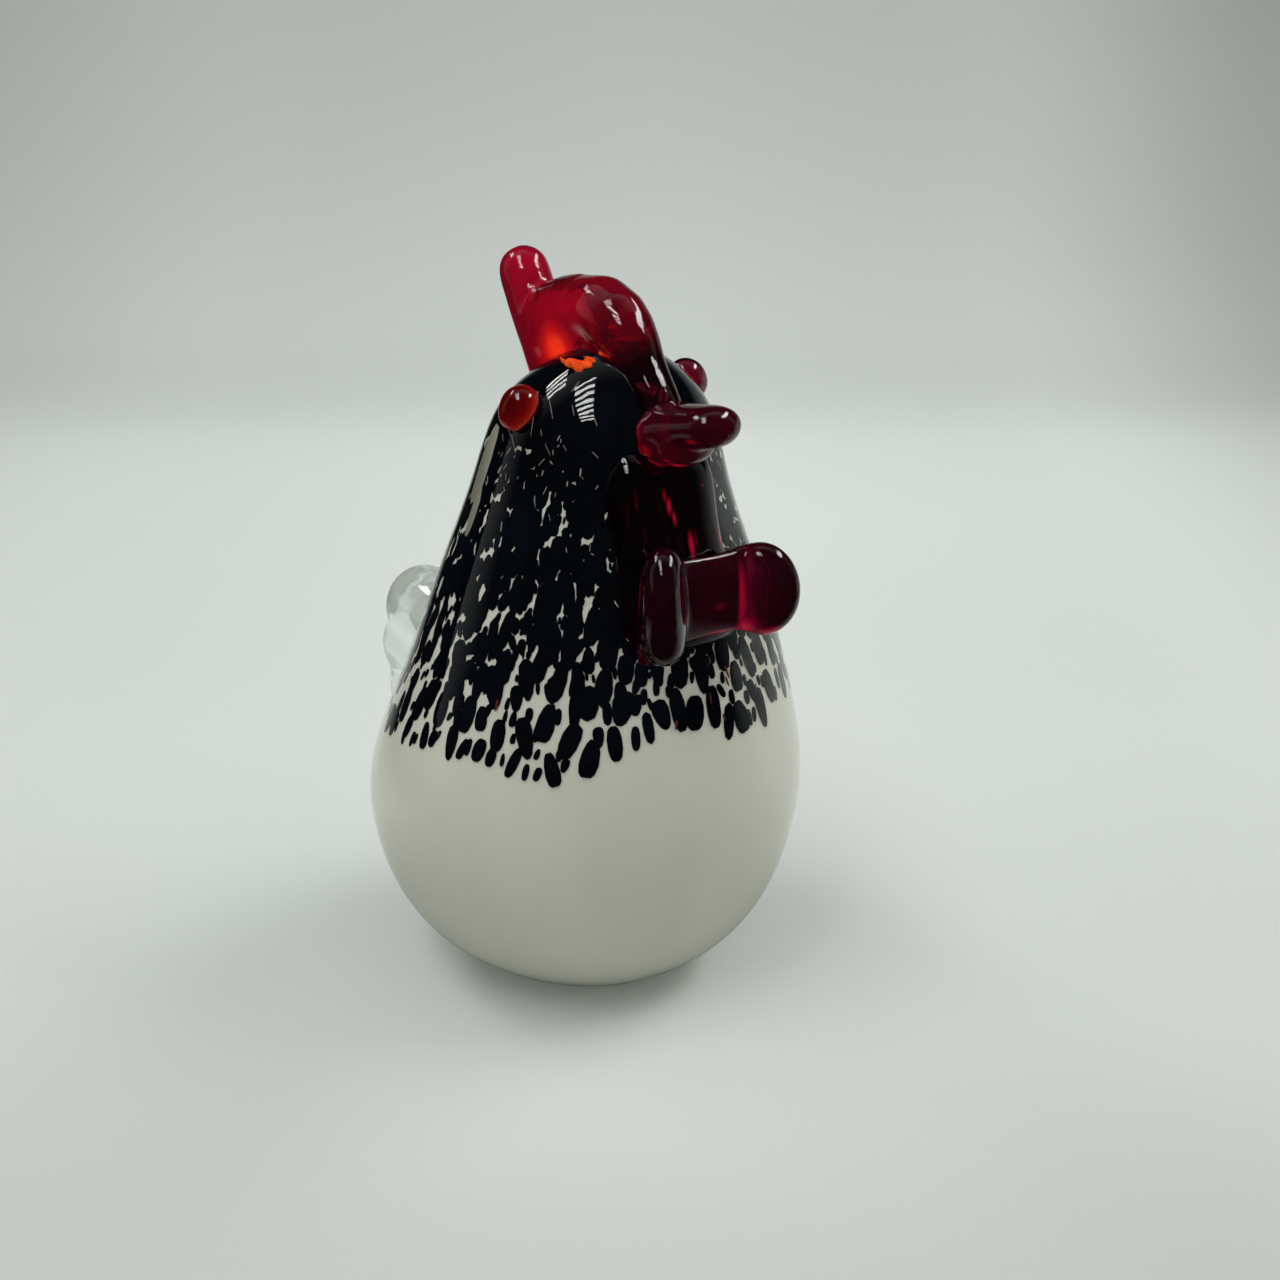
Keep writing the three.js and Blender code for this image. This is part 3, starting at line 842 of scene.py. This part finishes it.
def arch_station(angle, half, deep):
    """A station of the comb's front lobe, by its angle from straight ahead over the top."""
    turned = math.radians(angle)
    return (0, -(3.6 + ARCH_RADIUS * math.cos(turned)), 108.4 + ARCH_RADIUS * math.sin(turned), half, deep)


def face_station(height, half, deep, out=0.0):
    """A station on the front of the body, on the middle plane."""
    place = on_skin(OUTER, 0, height, out)
    return (*place, half, deep)


# Orange flecks at the comb's foot, painted light where refracted light shows: bearing, height, half width and
# half length
GLOW_FLECKS = (
    (-74, 110.2, 1.1, 2.5),
    (-86, 109.9, 0.5, 1.3),
    (-65, 110.8, 0.3, 1.1),
    (-70, 109.6, 0.4, 1.0),
    (-47, 111.5, 0.2, 1.4),
    (-99, 110.0, 0.18, 1.5),
)


class HEN_OT_comb(Operator):
    """Draw the ruby comb: a rear finger fused to an arching front lobe that runs down the forehead"""

    bl_idname = "hen.comb"
    bl_label = "Comb"

    def execute(self, context):
        finger = drawn_bit("comb_glass", [
            finger_station(0, 5.6, 8.6),
            finger_station(8, 4.9, 6.3),
            finger_station(13.2, 4.4, 4.6),
            finger_station(19, 4.3, 4.3),
            finger_station(26.3, 4.3, 4.3),
        ], 14, 16)
        lobe = drawn_bit("lobe", [
            arch_station(205, 4.6, 5.2),
            arch_station(160, 4.9, 5.3),
            arch_station(119, 5.3, 5.4),
            arch_station(79, 5.4, 5.4),
            arch_station(38, 5.1, 5.0),
            face_station(109.2, 3.7, 3.0),
            face_station(104.5, 3.5, 2.7),
            face_station(100.5, 3.6, 2.7, -0.4),
        ], 20, 16)
        web = drawn_bit("web", [
            (0, -3.6 + 8.6, 108.0, 4.4, 8.6),
            (0, -3.6, 108.4, 4.6, 8.8),
            (0, -3.6 - 8.6, 108.0, 4.4, 8.6),
        ], 12, 16)
        shoulder = drawn_bit("shoulder", [
            (0, -7, 114.0, 4.6, 7.0),
            (0, 2, 114.7, 5.0, 7.2),
            (0, 9, 113.0, 4.9, 6.7),
            (0, 16, 110.5, 4.0, 5.2),
        ], 14, 16)
        comb = join("comb_glass", [finger, lobe, web, shoulder])
        fuse(comb, 0.45, 24)
        seated(comb)
        finish_piece(comb, [ruby_material(context)], ("comb_rear_finger", "comb_front_lobe"))
        self.paint_glow_flecks()
        return {"FINISHED"}

    @staticmethod
    def paint_glow_flecks():
        """Flecks of painted orange light where the comb's foot meets the head, where light refracted through
        the comb shows.
        """
        flecks = []
        for bearing, height, half, long in GLOW_FLECKS:
            place = on_skin(OUTER, bearing, height, -0.1)
            along, _out, _up = skin_axes(OUTER, bearing, height)
            flecks.append(drawn_bit("comb_glow_flecks", [
                (*(place - along * long), half * 0.5, 0.4),
                (*place, half, 0.6),
                (*(place + along * long + Vector((0, 0, 0.4))), half * 0.4, 0.4),
            ], 8, 10))
        glow_flecks = join("comb_glow_flecks", flecks)
        fuse(glow_flecks, 0.2, 4)
        orange = opaque_glass("Painted orange glow glass", 420, (0.62, 0.03, 0.008), (0.85, 0.13, 0.02))
        finish_piece(glow_flecks, [orange])


# Places in the comb's glass: a painted orange glow at its foot, painted light where light shines through,
# and painted shade in the crease on the lobe's right and on the dark ridge below.
# Here and below, a place has the distances at which its colour is full and gone, and a squeeze.
COMB_GLOW = ((-4.6, 2.6, 110.3), 0.1, 6.3)
COMB_CREASE_SHADE = ((-5.4, -6.9, 113.2), 0.1, 2.3, (0.5, 1, 0.42))
FOREHEAD_SHADE = ((0, -19, 104), 7.0, 15.0)


def ruby_material(context):
    settings = context.scene.hen_ruby
    return see_through_glass(
        "Ruby glass", ((0.46, 0.012, 0.055), (0.84, 0.030, 0.13)), settings.ruby,
        density=settings.ruby_depth * 0.5, waves=(110, 0.3, 0.0008), clear=0.94, glows=(COMB_GLOW,),
        shades=(FOREHEAD_SHADE, COMB_CREASE_SHADE))


# Painted light in the wattle's glass, a brighter ruby and an emitted glow where light shines through: the
# crease by its left lobe, its lower edge and the right flange
WATTLE_GLOWS = (
    ((4.9, -34.1, 76.8), 0.1, 0.8, (1, 0.5, 0.11)),
    ((5.6, -34.4, 71.4), 0.2, 1.6, (1, 0.5, 0.6)),
    ((1.5, -33.6, 70.6), 0.2, 1.0, (0.22, 0.5, 1)),
    ((9.5, -36.0, 70.8), 0.3, 1.8, (0.5, 0.5, 1)),
    ((-9.8, -30.4, 75.0), 0.3, 1.5, (0.8, 0.4, 0.16)),
    ((1.0, -33.9, 75.6), -1.6, 1.1, (0.5, 0.5, 1)),
)


def plum_material(context):
    settings = context.scene.hen_ruby
    return see_through_glass(
        "Plum glass", ((0.07, 0.004, 0.022), (0.30, 0.011, 0.065)), settings.plum,
        density=settings.plum_depth * 0.5, waves=(140, 0.2, 0.0005), clear=0.95, glows=WATTLE_GLOWS,
        glow_tint=(0.90, 0.03, 0.08), glow=(0.21, 0.002, 0.018))


# Painted light in the beak's glass, brighter and glowing where light shines through: its right side by the
# root, its lower edge and a fleck by the tip
BEAK_GLOWS = (
    ((-4.6, -18.5, 101.5), 0.4, 2.6, (1, 0.55, 1)),
    ((-3.2, -23.0, 99.0), 0.3, 1.5, (0.8, 0.25, 1)),
    ((-3.6, -32.0, 102.6), 0.2, 0.9, (1, 0.5, 1)),
)


class HEN_OT_beak(Operator):
    """Draw the beak: a thick tongue of dark ruby with a short lip under its root"""

    bl_idname = "hen.beak"
    bl_label = "Beak"

    def execute(self, context):
        root = on_skin(OUTER, 0, 101.2, -3.5)
        upper = drawn_bit("beak_tongue", [
            (0, root.y, 100.8, 6.3, 4.8),
            (0, root.y - 6, 101.8, 5.9, 4.3),
            (0, -28.5, 103.2, 5.0, 3.5),
            (0, -36.4, 104.8, 4.3, 3.1),
        ], 14, 16)
        lip = drawn_bit("beak_lip", [
            (0, root.y, 98.8, 5.6, 3.2),
            (0, root.y - 6, 99.2, 5.2, 3.0),
            (0, root.y - 11.5, 99.8, 4.4, 2.4),
        ], 10, 14)
        beak = join("beak_glass", [upper, lip])
        fuse(beak, 0.4, 20)
        seated(beak)
        material = see_through_glass(
            "Beak glass", ((0.26, 0.010, 0.045), (0.62, 0.024, 0.11)), (0.62, 0.03, 0.26),
            density=170.0, waves=(140, 0.25, 0.0006), clear=0.94, glows=BEAK_GLOWS,
            glow_tint=(0.95, 0.08, 0.08), glow=(0.30, 0.006, 0.012))
        finish_piece(beak, [material], ("beak",))
        return {"FINISHED"}


# Painted glowing streaks in the ribbon, painted light where light shines through the ruby: bearing, height,
# half width, half length, place out of the casing and how dim
RIBBON_GLOW_STREAKS = (
    (-10.0, 92.2, 0.35, 1.3, 2.2, 0.3),
    (-8.4, 90.6, 0.5, 1.5, 2.2, 0.0),
    (-6.6, 88.6, 0.35, 1.3, 2.2, 0.0),
    (-0.8, 84.2, 0.6, 2.3, 2.2, 0.0),
    (1.6, 84.6, 0.3, 1.9, 2.2, 1.0),
    (14.5, 83.6, 0.35, 2.0, 1.6, 0.0),
    (17.5, 83.2, 0.3, 1.6, 1.4, 0.5),
    (9.0, 92.8, 0.28, 0.3, 2.2, 0.4),
    (-22.0, 91.0, 0.35, 2.6, 1.6, 1.2),
    (-25.0, 88.0, 0.3, 3.2, 1.2, 1.6),
    (-19.0, 86.0, 0.3, 2.2, 1.8, 1.8),
)
RIBBON_MIDDLE = -0.0015


class HEN_OT_throat(Operator):
    """Lay the flat ribbon of dark ruby down the throat"""

    bl_idname = "hen.throat"
    bl_label = "Throat ribbon"

    def execute(self, context):
        clear_selection()
        top, bottom = 99.6, 66.9
        middle = (RIBBON_MIDDLE, -0.05, (top + bottom) / 2 * MM)
        bpy.ops.mesh.primitive_grid_add(
            x_subdivisions=10, y_subdivisions=14, size=1, location=middle,
            rotation=(math.radians(90), 0, 0), scale=(1, 1, 1))
        ribbon = context.object
        ribbon.name = "throat_glass"
        ribbon.scale = (0.0176, (top - bottom - 2.6) * MM, 1)
        bake_place()
        self.draw_rows(ribbon)
        self.thin_edges(ribbon)
        cutter = body_form("throat_form", OUTER)
        subdivide(cutter, 1)
        apply_modifier(
            ribbon, "Lay on", "SHRINKWRAP", target=cutter, wrap_method="PROJECT", use_project_y=True,
            use_project_x=False, use_project_z=False, use_negative_direction=True,
            use_positive_direction=True, offset=-0.0002)
        drop(cutter)
        apply_modifier(
            ribbon, "Thickness", "SOLIDIFY", thickness=0.0028, offset=1.0, vertex_group="Thickness",
            thickness_vertex_group=0.12)
        subdivide(ribbon, 2)
        if sum(v.co.y for v in ribbon.data.vertices) / len(ribbon.data.vertices) > 0:
            raise RuntimeError("the throat ribbon missed the body")
        material = see_through_glass(
            "Ribbon glass", ((0.004, 0.0006, 0.0018), (0.05, 0.002, 0.010)), (0.52, 0.02, 0.22),
            density=420.0, waves=(90, 0.3, 0.0009), clear=0.98, glows=self.streaks(),
            glow_tint=(0.80, 0.02, 0.05), glow=(0.26, 0.003, 0.018))
        finish_piece(ribbon, [material], ("throat_ribbon",))
        return {"FINISHED"}

    @staticmethod
    def draw_rows(ribbon):
        """Draws the rows of the flat ribbon in or out: rounded at both ends and wider towards the foot."""
        levels = sorted({round(v.co.z, 6) for v in ribbon.data.vertices})
        for k, level in enumerate(levels):
            down = 1 - k / (len(levels) - 1)
            end = rounded_end(min(down, 1 - down) + 0.03, 0.22)
            width = (0.45 + 0.55 * end) * (1 + 0.27 * down) * (1 + 0.04 * math.sin(9 * down))
            edit_only(ribbon, lambda place: abs(place.z - level) < 1e-5)
            bpy.ops.transform.resize(value=(width, 1, 1), center_override=(RIBBON_MIDDLE, 0, level))
            bpy.ops.object.mode_set(mode="OBJECT")

    @staticmethod
    def thin_edges(ribbon):
        """Weighs the ribbon's vertices by how thick it is there, so that it melts out towards its edges."""
        group = ribbon.vertex_groups.new(name="Thickness")
        sides = {}
        for vertex in ribbon.data.vertices:
            sides.setdefault(round(vertex.co.z, 6), []).append(vertex.co.x)
        top, bottom = max(sides), min(sides)
        for vertex in ribbon.data.vertices:
            row = sides[round(vertex.co.z, 6)]
            across, up = vertex.co.x, vertex.co.z
            inward = min(across - min(row), max(row) - across, top - up, up - bottom)
            group.add([vertex.index], rounded_end(max(inward, 0) / MM, 5.0), "REPLACE")

    @staticmethod
    def streaks():
        """Places of the painted glowing streaks, painted light on the ribbon's face."""
        places = []
        for bearing, height, half_width, half_length, out, dimness in RIBBON_GLOW_STREAKS:
            face = on_skin(OUTER, bearing, height, out)
            places.append((
                tuple(face), half_width * (0.3 - 1.6 * dimness), half_width * 1.3,
                (1, 0.3, half_width / half_length),
            ))
        return places


class HEN_OT_wattles(Operator):
    """Draw the bow-shaped wattle: a bridge across the throat with a flat round lobe at each end"""

    bl_idname = "hen.wattles"
    bl_label = "Wattles"

    def execute(self, context):
        middle = on_skin(OUTER, 0, 77.6, 2.6 + 1.8)
        bridge = drawn_bit("bridge", [
            (0, 0, -9.6, 7.8, 2.6),
            (0, 0, -5, 7.0, 2.0),
            (0, 0, 0, 6.6, 1.8),
            (0, 0, 5, 6.9, 2.0),
            (0, 0, 9.6, 7.6, 2.6),
        ], 14, 16)
        bpy.ops.transform.rotate(value=-math.radians(90), orient_axis="Y", center_override=(0, 0, 0))
        bpy.ops.transform.translate(value=(middle + Vector((0, 0, -0.6))) * MM)
        bake_place()
        lobes = [
            self.lobe(middle + Vector((-1.3, 0, -0.4)), -1, 19.0),
            self.lobe(middle, 1, 15.4),
        ]
        flange = drawn_bit("flange", [
            (*on_skin(OUTER, bearing, height, 2.4), 1.8, 1.3)
            for bearing, height in ((-17.0, 82.8), (-19.0, 77.5), (-20.2, 72.5), (-21.2, 67.4))
        ], 10, 12)
        wattle = join("wattle_glass", [bridge, flange, *lobes])
        fuse(wattle, 0.4, 20)
        seated(wattle)
        stood_for = ("wattle_bridge", "wattle_right", "wattle_left")
        finish_piece(wattle, [plum_material(context)], stood_for)
        return {"FINISHED"}

    @staticmethod
    def lobe(middle, side, tall):
        splay = math.radians(35)
        way = Vector((side * math.sin(splay), -math.cos(splay), 0))
        centre = middle + Vector((side * 7.6, 0, -side * 0.7)) + way * 2.35
        disc = drawn_bit("lobe", [
            (0, 0, -tall / 2, 6.35, 3.2),
            (0, 0, -tall / 6, 6.35, 3.7),
            (0, 0, tall / 6, 6.35, 3.3),
            (0, 0, tall / 2, 6.35, 2.6),
        ], 16, 18, tip=tall / 2)
        turn(math.atan2(way.y, way.x), "Z", (0, 0, 0))
        bpy.ops.transform.translate(value=centre * MM)
        bake_place()
        return disc


EYE_BEARING = 89
EYE_HEIGHT = 103.4


class HEN_OT_eyes(Operator):
    """Set a red glass drop on each side of the head, over an orange seat"""

    bl_idname = "hen.eyes"
    bl_label = "Eyes"

    def execute(self, context):
        glass = see_through_glass(
            "Eye glass", ((0.90, 0.55, 0.55), (0.98, 0.80, 0.80)), (0.62, 0.02, 0.30), density=850.0,
            waves=(300, 0.15, 0.0004))
        seat = opaque_glass("Eye seat glass", 300, (0.46, 0.07, 0.03), (0.60, 0.11, 0.045))
        seats = []
        for side, name in ((-1, "right"), (1, "left")):
            eye = self.drop_of_glass(f"eye_glass_{name}", 1.0, 1.0)
            self.set_on(eye, side, 0.7)
            finish_piece(eye, [glass], (f"eye_{name}",))
            pad = self.drop_of_glass(f"eye_pad_{name}", 0.88, 0.3)
            self.set_on(pad, side, 0.0)
            seats.append(pad)
        finish_piece(join("eye_seats", seats), [seat])
        return {"FINISHED"}

    @staticmethod
    def drop_of_glass(name, size, bulge):
        """An upright drop, narrower at its lower end."""
        heights = (-3.8, -3.3, -2.3, -1.0, 0.6, 2.0, 3.1, 3.75)
        widths = (0.85, 1.75, 2.6, 3.15, 3.35, 2.95, 2.0, 0.8)
        rings = [
            (0, 0, h * size, w * size * CAGE, w * bulge * size * 0.95, 0) for h, w in zip(heights, widths)
        ]
        eye = draw_glass(name, rings, 16)
        subdivide(eye, 2)
        return eye

    @staticmethod
    def set_on(obj, side, out):
        bearing, height = side * EYE_BEARING, EYE_HEIGHT
        _along, outward, _up = skin_axes(OUTER, bearing, height)
        only(obj)
        turn(math.atan2(-outward.z, math.hypot(outward.x, outward.y)), "X", (0, 0, 0))
        turn(math.radians(bearing), "Z", (0, 0, 0))
        bpy.ops.transform.translate(value=(on_skin(OUTER, bearing, height) + outward * out) * MM)
        bake_place()


TAIL_HEIGHT = 38.5


class HEN_OT_tail(Operator):
    """Draw the clear tail: a thick paddle of three fused plumes"""

    bl_idname = "hen.tail"
    bl_label = "Tail"

    def execute(self, context):
        plumes = []
        root = on_skin(OUTER, 180, TAIL_HEIGHT, -8)
        tip = on_skin(OUTER, 180, TAIL_HEIGHT, 28)
        for level in (-1, 0, 1):
            start = root + Vector((0, 0, level * 6))
            end = tip + Vector((0, -2.2 * level ** 2, 3 + level * 8.7))
            plumes.append(drawn_bit("plume", [
                (*start.lerp(end, share), 7.8, 8.4) for share in (0, 0.33, 0.67, 1)
            ], 12, 16))
        tail = join("tail_glass", plumes)
        fuse(tail, 0.6, 34)
        seated(tail)
        clear = see_through_glass(
            "Tail glass", ((0.93, 0.95, 0.94), (1, 1, 1)), context.scene.hen_body.casing,
            density=6.0, waves=(60, 0.35, 0.0012), roughness=0.04, clear=0.9)
        finish_piece(tail, [clear], ("tail",))
        return {"FINISHED"}


# Camera and stage

EYE = Vector((-171.9, -250.1, 177.1)) * MM
FORWARD = Vector((0.549, 0.7538, -0.3611)).normalized()
LEVEL = Vector((FORWARD.x, FORWARD.y, 0)).normalized()
RIGHT = Vector((LEVEL.y, -LEVEL.x, 0))
LENS = 53.4375
LAMP_HEIGHT = 0.56


# Painted light and shade on the paper, where the light box lights it more or less: how light it is along the
# camera's direction and across it, by distance in metres
PAPER_LIGHT_DEPTHS = (
    (-1.0, 1.2), (-0.10, 0.78), (-0.02, 0.93), (0.11, 1.02), (0.34, 1.14), (0.44, 0.93), (0.60, 0.76),
)
PAPER_LIGHT_SIDES = ((-1.0, 1.2), (-0.30, 0.86), (-0.15, 1.01), (0.0, 1.04), (0.15, 0.93), (0.30, 0.58), (1.0, 1.2))


class HEN_OT_stage(Operator):
    """Set up the pale sweep, the strip lamps of the light box, the world and the camera"""

    bl_idname = "hen.stage"
    bl_label = "Stage"

    def execute(self, context):
        self.sweep(context)
        self.lamps(context)
        self.world(context)
        self.camera(context)
        context.scene.view_settings.view_transform = "Standard"
        return {"FINISHED"}

    def sweep(self, context):
        """One sheet of paper: floor, a wide bend, and a wall behind the object."""
        clear_selection()
        bpy.ops.mesh.primitive_plane_add(size=1, location=(0, 0, 0))
        paper = context.object
        paper.name = "paper_sweep"
        paper.scale = (4.0, 2.4, 1)
        bake_place()
        edit_only(paper, lambda place: place.y > 0)
        bpy.ops.transform.translate(value=(0, -0.82, 0))
        bend, steps = 0.2, 12
        turns = [math.radians(90) * k / steps for k in range(steps + 1)]
        moves = [
            (0, bend * (math.sin(b) - math.sin(a)), bend * (math.cos(a) - math.cos(b)))
            for a, b in zip(turns, turns[1:])
        ]
        for move in (*moves, (0, 0, 1.2)):
            bpy.ops.mesh.extrude_edges_move(TRANSFORM_OT_translate={"value": move})
        bpy.ops.mesh.select_all(action="SELECT")
        bpy.ops.mesh.normals_make_consistent(inside=False)
        bpy.ops.object.mode_set(mode="OBJECT")
        turn(math.atan2(RIGHT.y, RIGHT.x), "Z", (0, 0, 0))
        bake_place()
        bpy.ops.object.shade_smooth()
        paper.data.materials.append(self.paper_material(context))

    def paper_material(self, context):
        """Pale paper with painted light and shade, which glass mirrors as dark where the room before the light
        box would show.
        """
        material = new_material("Paper")
        tree = material.node_tree
        tint = two_tones(tree, 3, *scale_pair(context.scene.hen_stage.floor, 0.01))
        for direction, stops in ((LEVEL, PAPER_LIGHT_DEPTHS), (RIGHT, PAPER_LIGHT_SIDES)):
            tint = self.shaded(tree, tint, direction, stops)
        shader = node(tree, "ShaderNodeBsdfPrincipled", {
            "Base Color": tint,
            "Roughness": 0.55,
            "Specular IOR Level": 0.3,
        })
        room = node(tree, "ShaderNodeBsdfDiffuse", {"Color": (0.01, 0.01, 0.01, 1)})
        mix = node(tree, "ShaderNodeMixShader", {
            "Fac": self.mirrored_dark(tree),
            1: shader.outputs["BSDF"],
            2: room.outputs["BSDF"],
        })
        node(tree, "ShaderNodeOutputMaterial", {"Surface": mix.outputs["Shader"]})
        return material

    @staticmethod
    def along(tree, direction, low, high):
        """How far the paper's surface is along a direction, as 0 to 1 between two distances in metres."""
        distance = node(
            tree, "ShaderNodeVectorMath", {0: object_place(tree), 1: direction}, operation="DOT_PRODUCT")
        return node(tree, "ShaderNodeMapRange", {
            "Value": distance.outputs["Value"],
            "From Min": low,
            "From Max": high,
        }).outputs["Result"]

    def shaded(self, tree, colour, direction, stops):
        """The paper's colour with painted light and shade, lighter or darker along a direction, by stops of
        distance and share.
        """
        low, high = stops[0][0], stops[-1][0]
        greys = [((distance - low) / (high - low), (share, share, share)) for distance, share in stops]
        grey = ramp(tree, self.along(tree, direction, low, high), greys, "EASE")
        return blend_colours(tree, 1.0, colour, grey, blend_type="MULTIPLY")

    def mirrored_dark(self, tree):
        """1 where glass mirrors the room before the box, its left side or its upper wall, which are dark."""
        path = node(tree, "ShaderNodeLightPath").outputs
        mirrored = maths(tree, "SUBTRACT", path["Is Glossy Ray"], path["Is Transmission Ray"], use_clamp=True)
        dark = self.along(tree, Vector((0, 0, 1)), 0.16, 0.34)
        for direction, low, high in ((-LEVEL, -0.04, 0.04), (-RIGHT, 0.10, 0.22)):
            dark = maths(tree, "MAXIMUM", dark, self.along(tree, direction, low, high))
        return maths(tree, "MULTIPLY", mirrored, dark)

    def lamps(self, context):
        """Strips on the box's ceiling: x is to the right and y away from the camera."""
        power = context.scene.hen_stage.lamp_power
        for name, right, away, width, length, share, rows in (
            ("left_strip", -0.17, -0.22, 0.14, 0.42, 1.1, 2.4),
            ("far_left_strip", -0.38, 0.2, 0.15, 0.25, 0.6, 1.2),
            ("right_strip", 0.42, 0.12, 0.16, 0.45, 2.2, 2.4),
        ):
            place = RIGHT * right + LEVEL * away + Vector((0, 0, LAMP_HEIGHT))
            clear_selection()
            bpy.ops.object.light_add(type="AREA", location=place)
            lamp = context.object
            lamp.name = name
            lamp.data.shape = "RECTANGLE"
            lamp.data.size = width
            lamp.data.size_y = length
            lamp.data.energy = power * share
            lamp.data.color = (1.0, 1.0, 0.985)
            lamp.rotation_euler = (0, 0, math.atan2(RIGHT.y, RIGHT.x))
            self.diodes(lamp.data, rows)

    @staticmethod
    def diodes(lamp, closeness):
        """Rows of diodes across a strip, which show only where the glass mirrors it."""
        lamp.use_nodes = True
        tree = lamp.node_tree
        place = node(tree, "ShaderNodeMapping", {
            "Vector": node(tree, "ShaderNodeNewGeometry").outputs["Parametric"],
            "Scale": (0.7, closeness, 1),
        })
        rows = node(tree, "ShaderNodeTexWave", {
            "Vector": place.outputs["Vector"],
            "Scale": 1.0,
            "Distortion": 3.2,
            "Detail": 1.0,
            "Detail Scale": 1.6,
        }, bands_direction="Y")
        share = node(tree, "ShaderNodeMapRange", {
            "Value": rows.outputs["Fac"],
            "From Min": 0.44,
            "From Max": 0.56,
            "To Min": 0.02,
            "To Max": 1.9,
        })
        tree.links.new(share.outputs["Result"], tree.nodes["Emission"].inputs["Strength"])

    def world(self, context):
        """Plain fill light, which glass mirrors as a box that is pale behind the object, dark before it."""
        world = bpy.data.worlds.new("Light box")
        context.scene.world = world
        world.use_nodes = True
        tree = world.node_tree
        tree.nodes.clear()
        coords = node(tree, "ShaderNodeTexCoord")
        ahead = node(
            tree, "ShaderNodeVectorMath", {0: coords.outputs["Generated"], 1: LEVEL}, operation="DOT_PRODUCT")
        share = maths(tree, "MULTIPLY", maths(tree, "ADD", ahead.outputs["Value"], 1.0), 0.5)
        box = ramp(tree, share, ((0.44, (0.02, 0.022, 0.024)), (0.86, (0.66, 0.70, 0.68))))
        path = node(tree, "ShaderNodeLightPath").outputs
        seen = maths(tree, "MAXIMUM", path["Is Camera Ray"], path["Is Transmission Ray"])
        surface = node(tree, "ShaderNodeBackground", {"Color": (0.86, 0.87, 0.86, 1), "Strength": 0.74})
        for colour, rays in ((box, path["Is Glossy Ray"]), ((0.60, 0.64, 0.62, 1), seen)):
            surface = node(tree, "ShaderNodeMixShader", {
                "Fac": rays,
                1: surface.outputs[0],
                2: node(tree, "ShaderNodeBackground", {"Color": colour}).outputs["Background"],
            })
        node(tree, "ShaderNodeOutputWorld", {"Surface": surface.outputs["Shader"]})

    def camera(self, context):
        clear_selection()
        bpy.ops.object.camera_add(location=EYE)
        camera = context.object
        camera.name = "photo_camera"
        camera.rotation_euler = FORWARD.to_track_quat("-Z", "Y").to_euler()
        camera.data.sensor_fit = "HORIZONTAL"
        camera.data.sensor_width = 36
        camera.data.lens = LENS
        camera.data.clip_start = 0.01
        context.scene.camera = camera


class HEN_PT_panel(Panel):
    """Sizes, colours and pieces of the glass hen"""

    bl_idname = "HEN_PT_panel"
    bl_label = "Glass Hen"
    bl_space_type = "VIEW_3D"
    bl_region_type = "UI"
    bl_category = "Glass Hen"

    def draw(self, context):
        layout = self.layout
        for settings in (
            context.scene.hen_body, context.scene.hen_frit, context.scene.hen_ruby, context.scene.hen_stage,
        ):
            box = layout.box()
            for key in settings.__annotations__:
                box.prop(settings, key)
        for operator in OPERATORS:
            layout.operator(operator.bl_idname)


SETTINGS = (
    ("hen_body", BodySettings),
    ("hen_frit", FritSettings),
    ("hen_ruby", RubySettings),
    ("hen_stage", StageSettings),
)
OPERATORS = (
    HEN_OT_opal_body,
    HEN_OT_casing,
    HEN_OT_frit,
    HEN_OT_comb,
    HEN_OT_beak,
    HEN_OT_throat,
    HEN_OT_wattles,
    HEN_OT_eyes,
    HEN_OT_tail,
    HEN_OT_stage,
)


def register():
    for name, group in SETTINGS:
        bpy.utils.register_class(group)
        setattr(bpy.types.Scene, name, PointerProperty(type=group))
    for operator in OPERATORS:
        bpy.utils.register_class(operator)
    bpy.utils.register_class(HEN_PT_panel)


def unregister():
    bpy.utils.unregister_class(HEN_PT_panel)
    for operator in reversed(OPERATORS):
        bpy.utils.unregister_class(operator)
    for name, group in reversed(SETTINGS):
        delattr(bpy.types.Scene, name)
        bpy.utils.unregister_class(group)


def main():
    register()
    bpy.ops.hen.stage()
    bpy.ops.hen.opal_body()
    bpy.ops.hen.casing()
    bpy.ops.hen.frit()
    bpy.ops.hen.comb()
    bpy.ops.hen.beak()
    bpy.ops.hen.throat()
    bpy.ops.hen.wattles()
    bpy.ops.hen.eyes()
    bpy.ops.hen.tail()
    clear_selection()


if __name__ == "__main__":
    main()
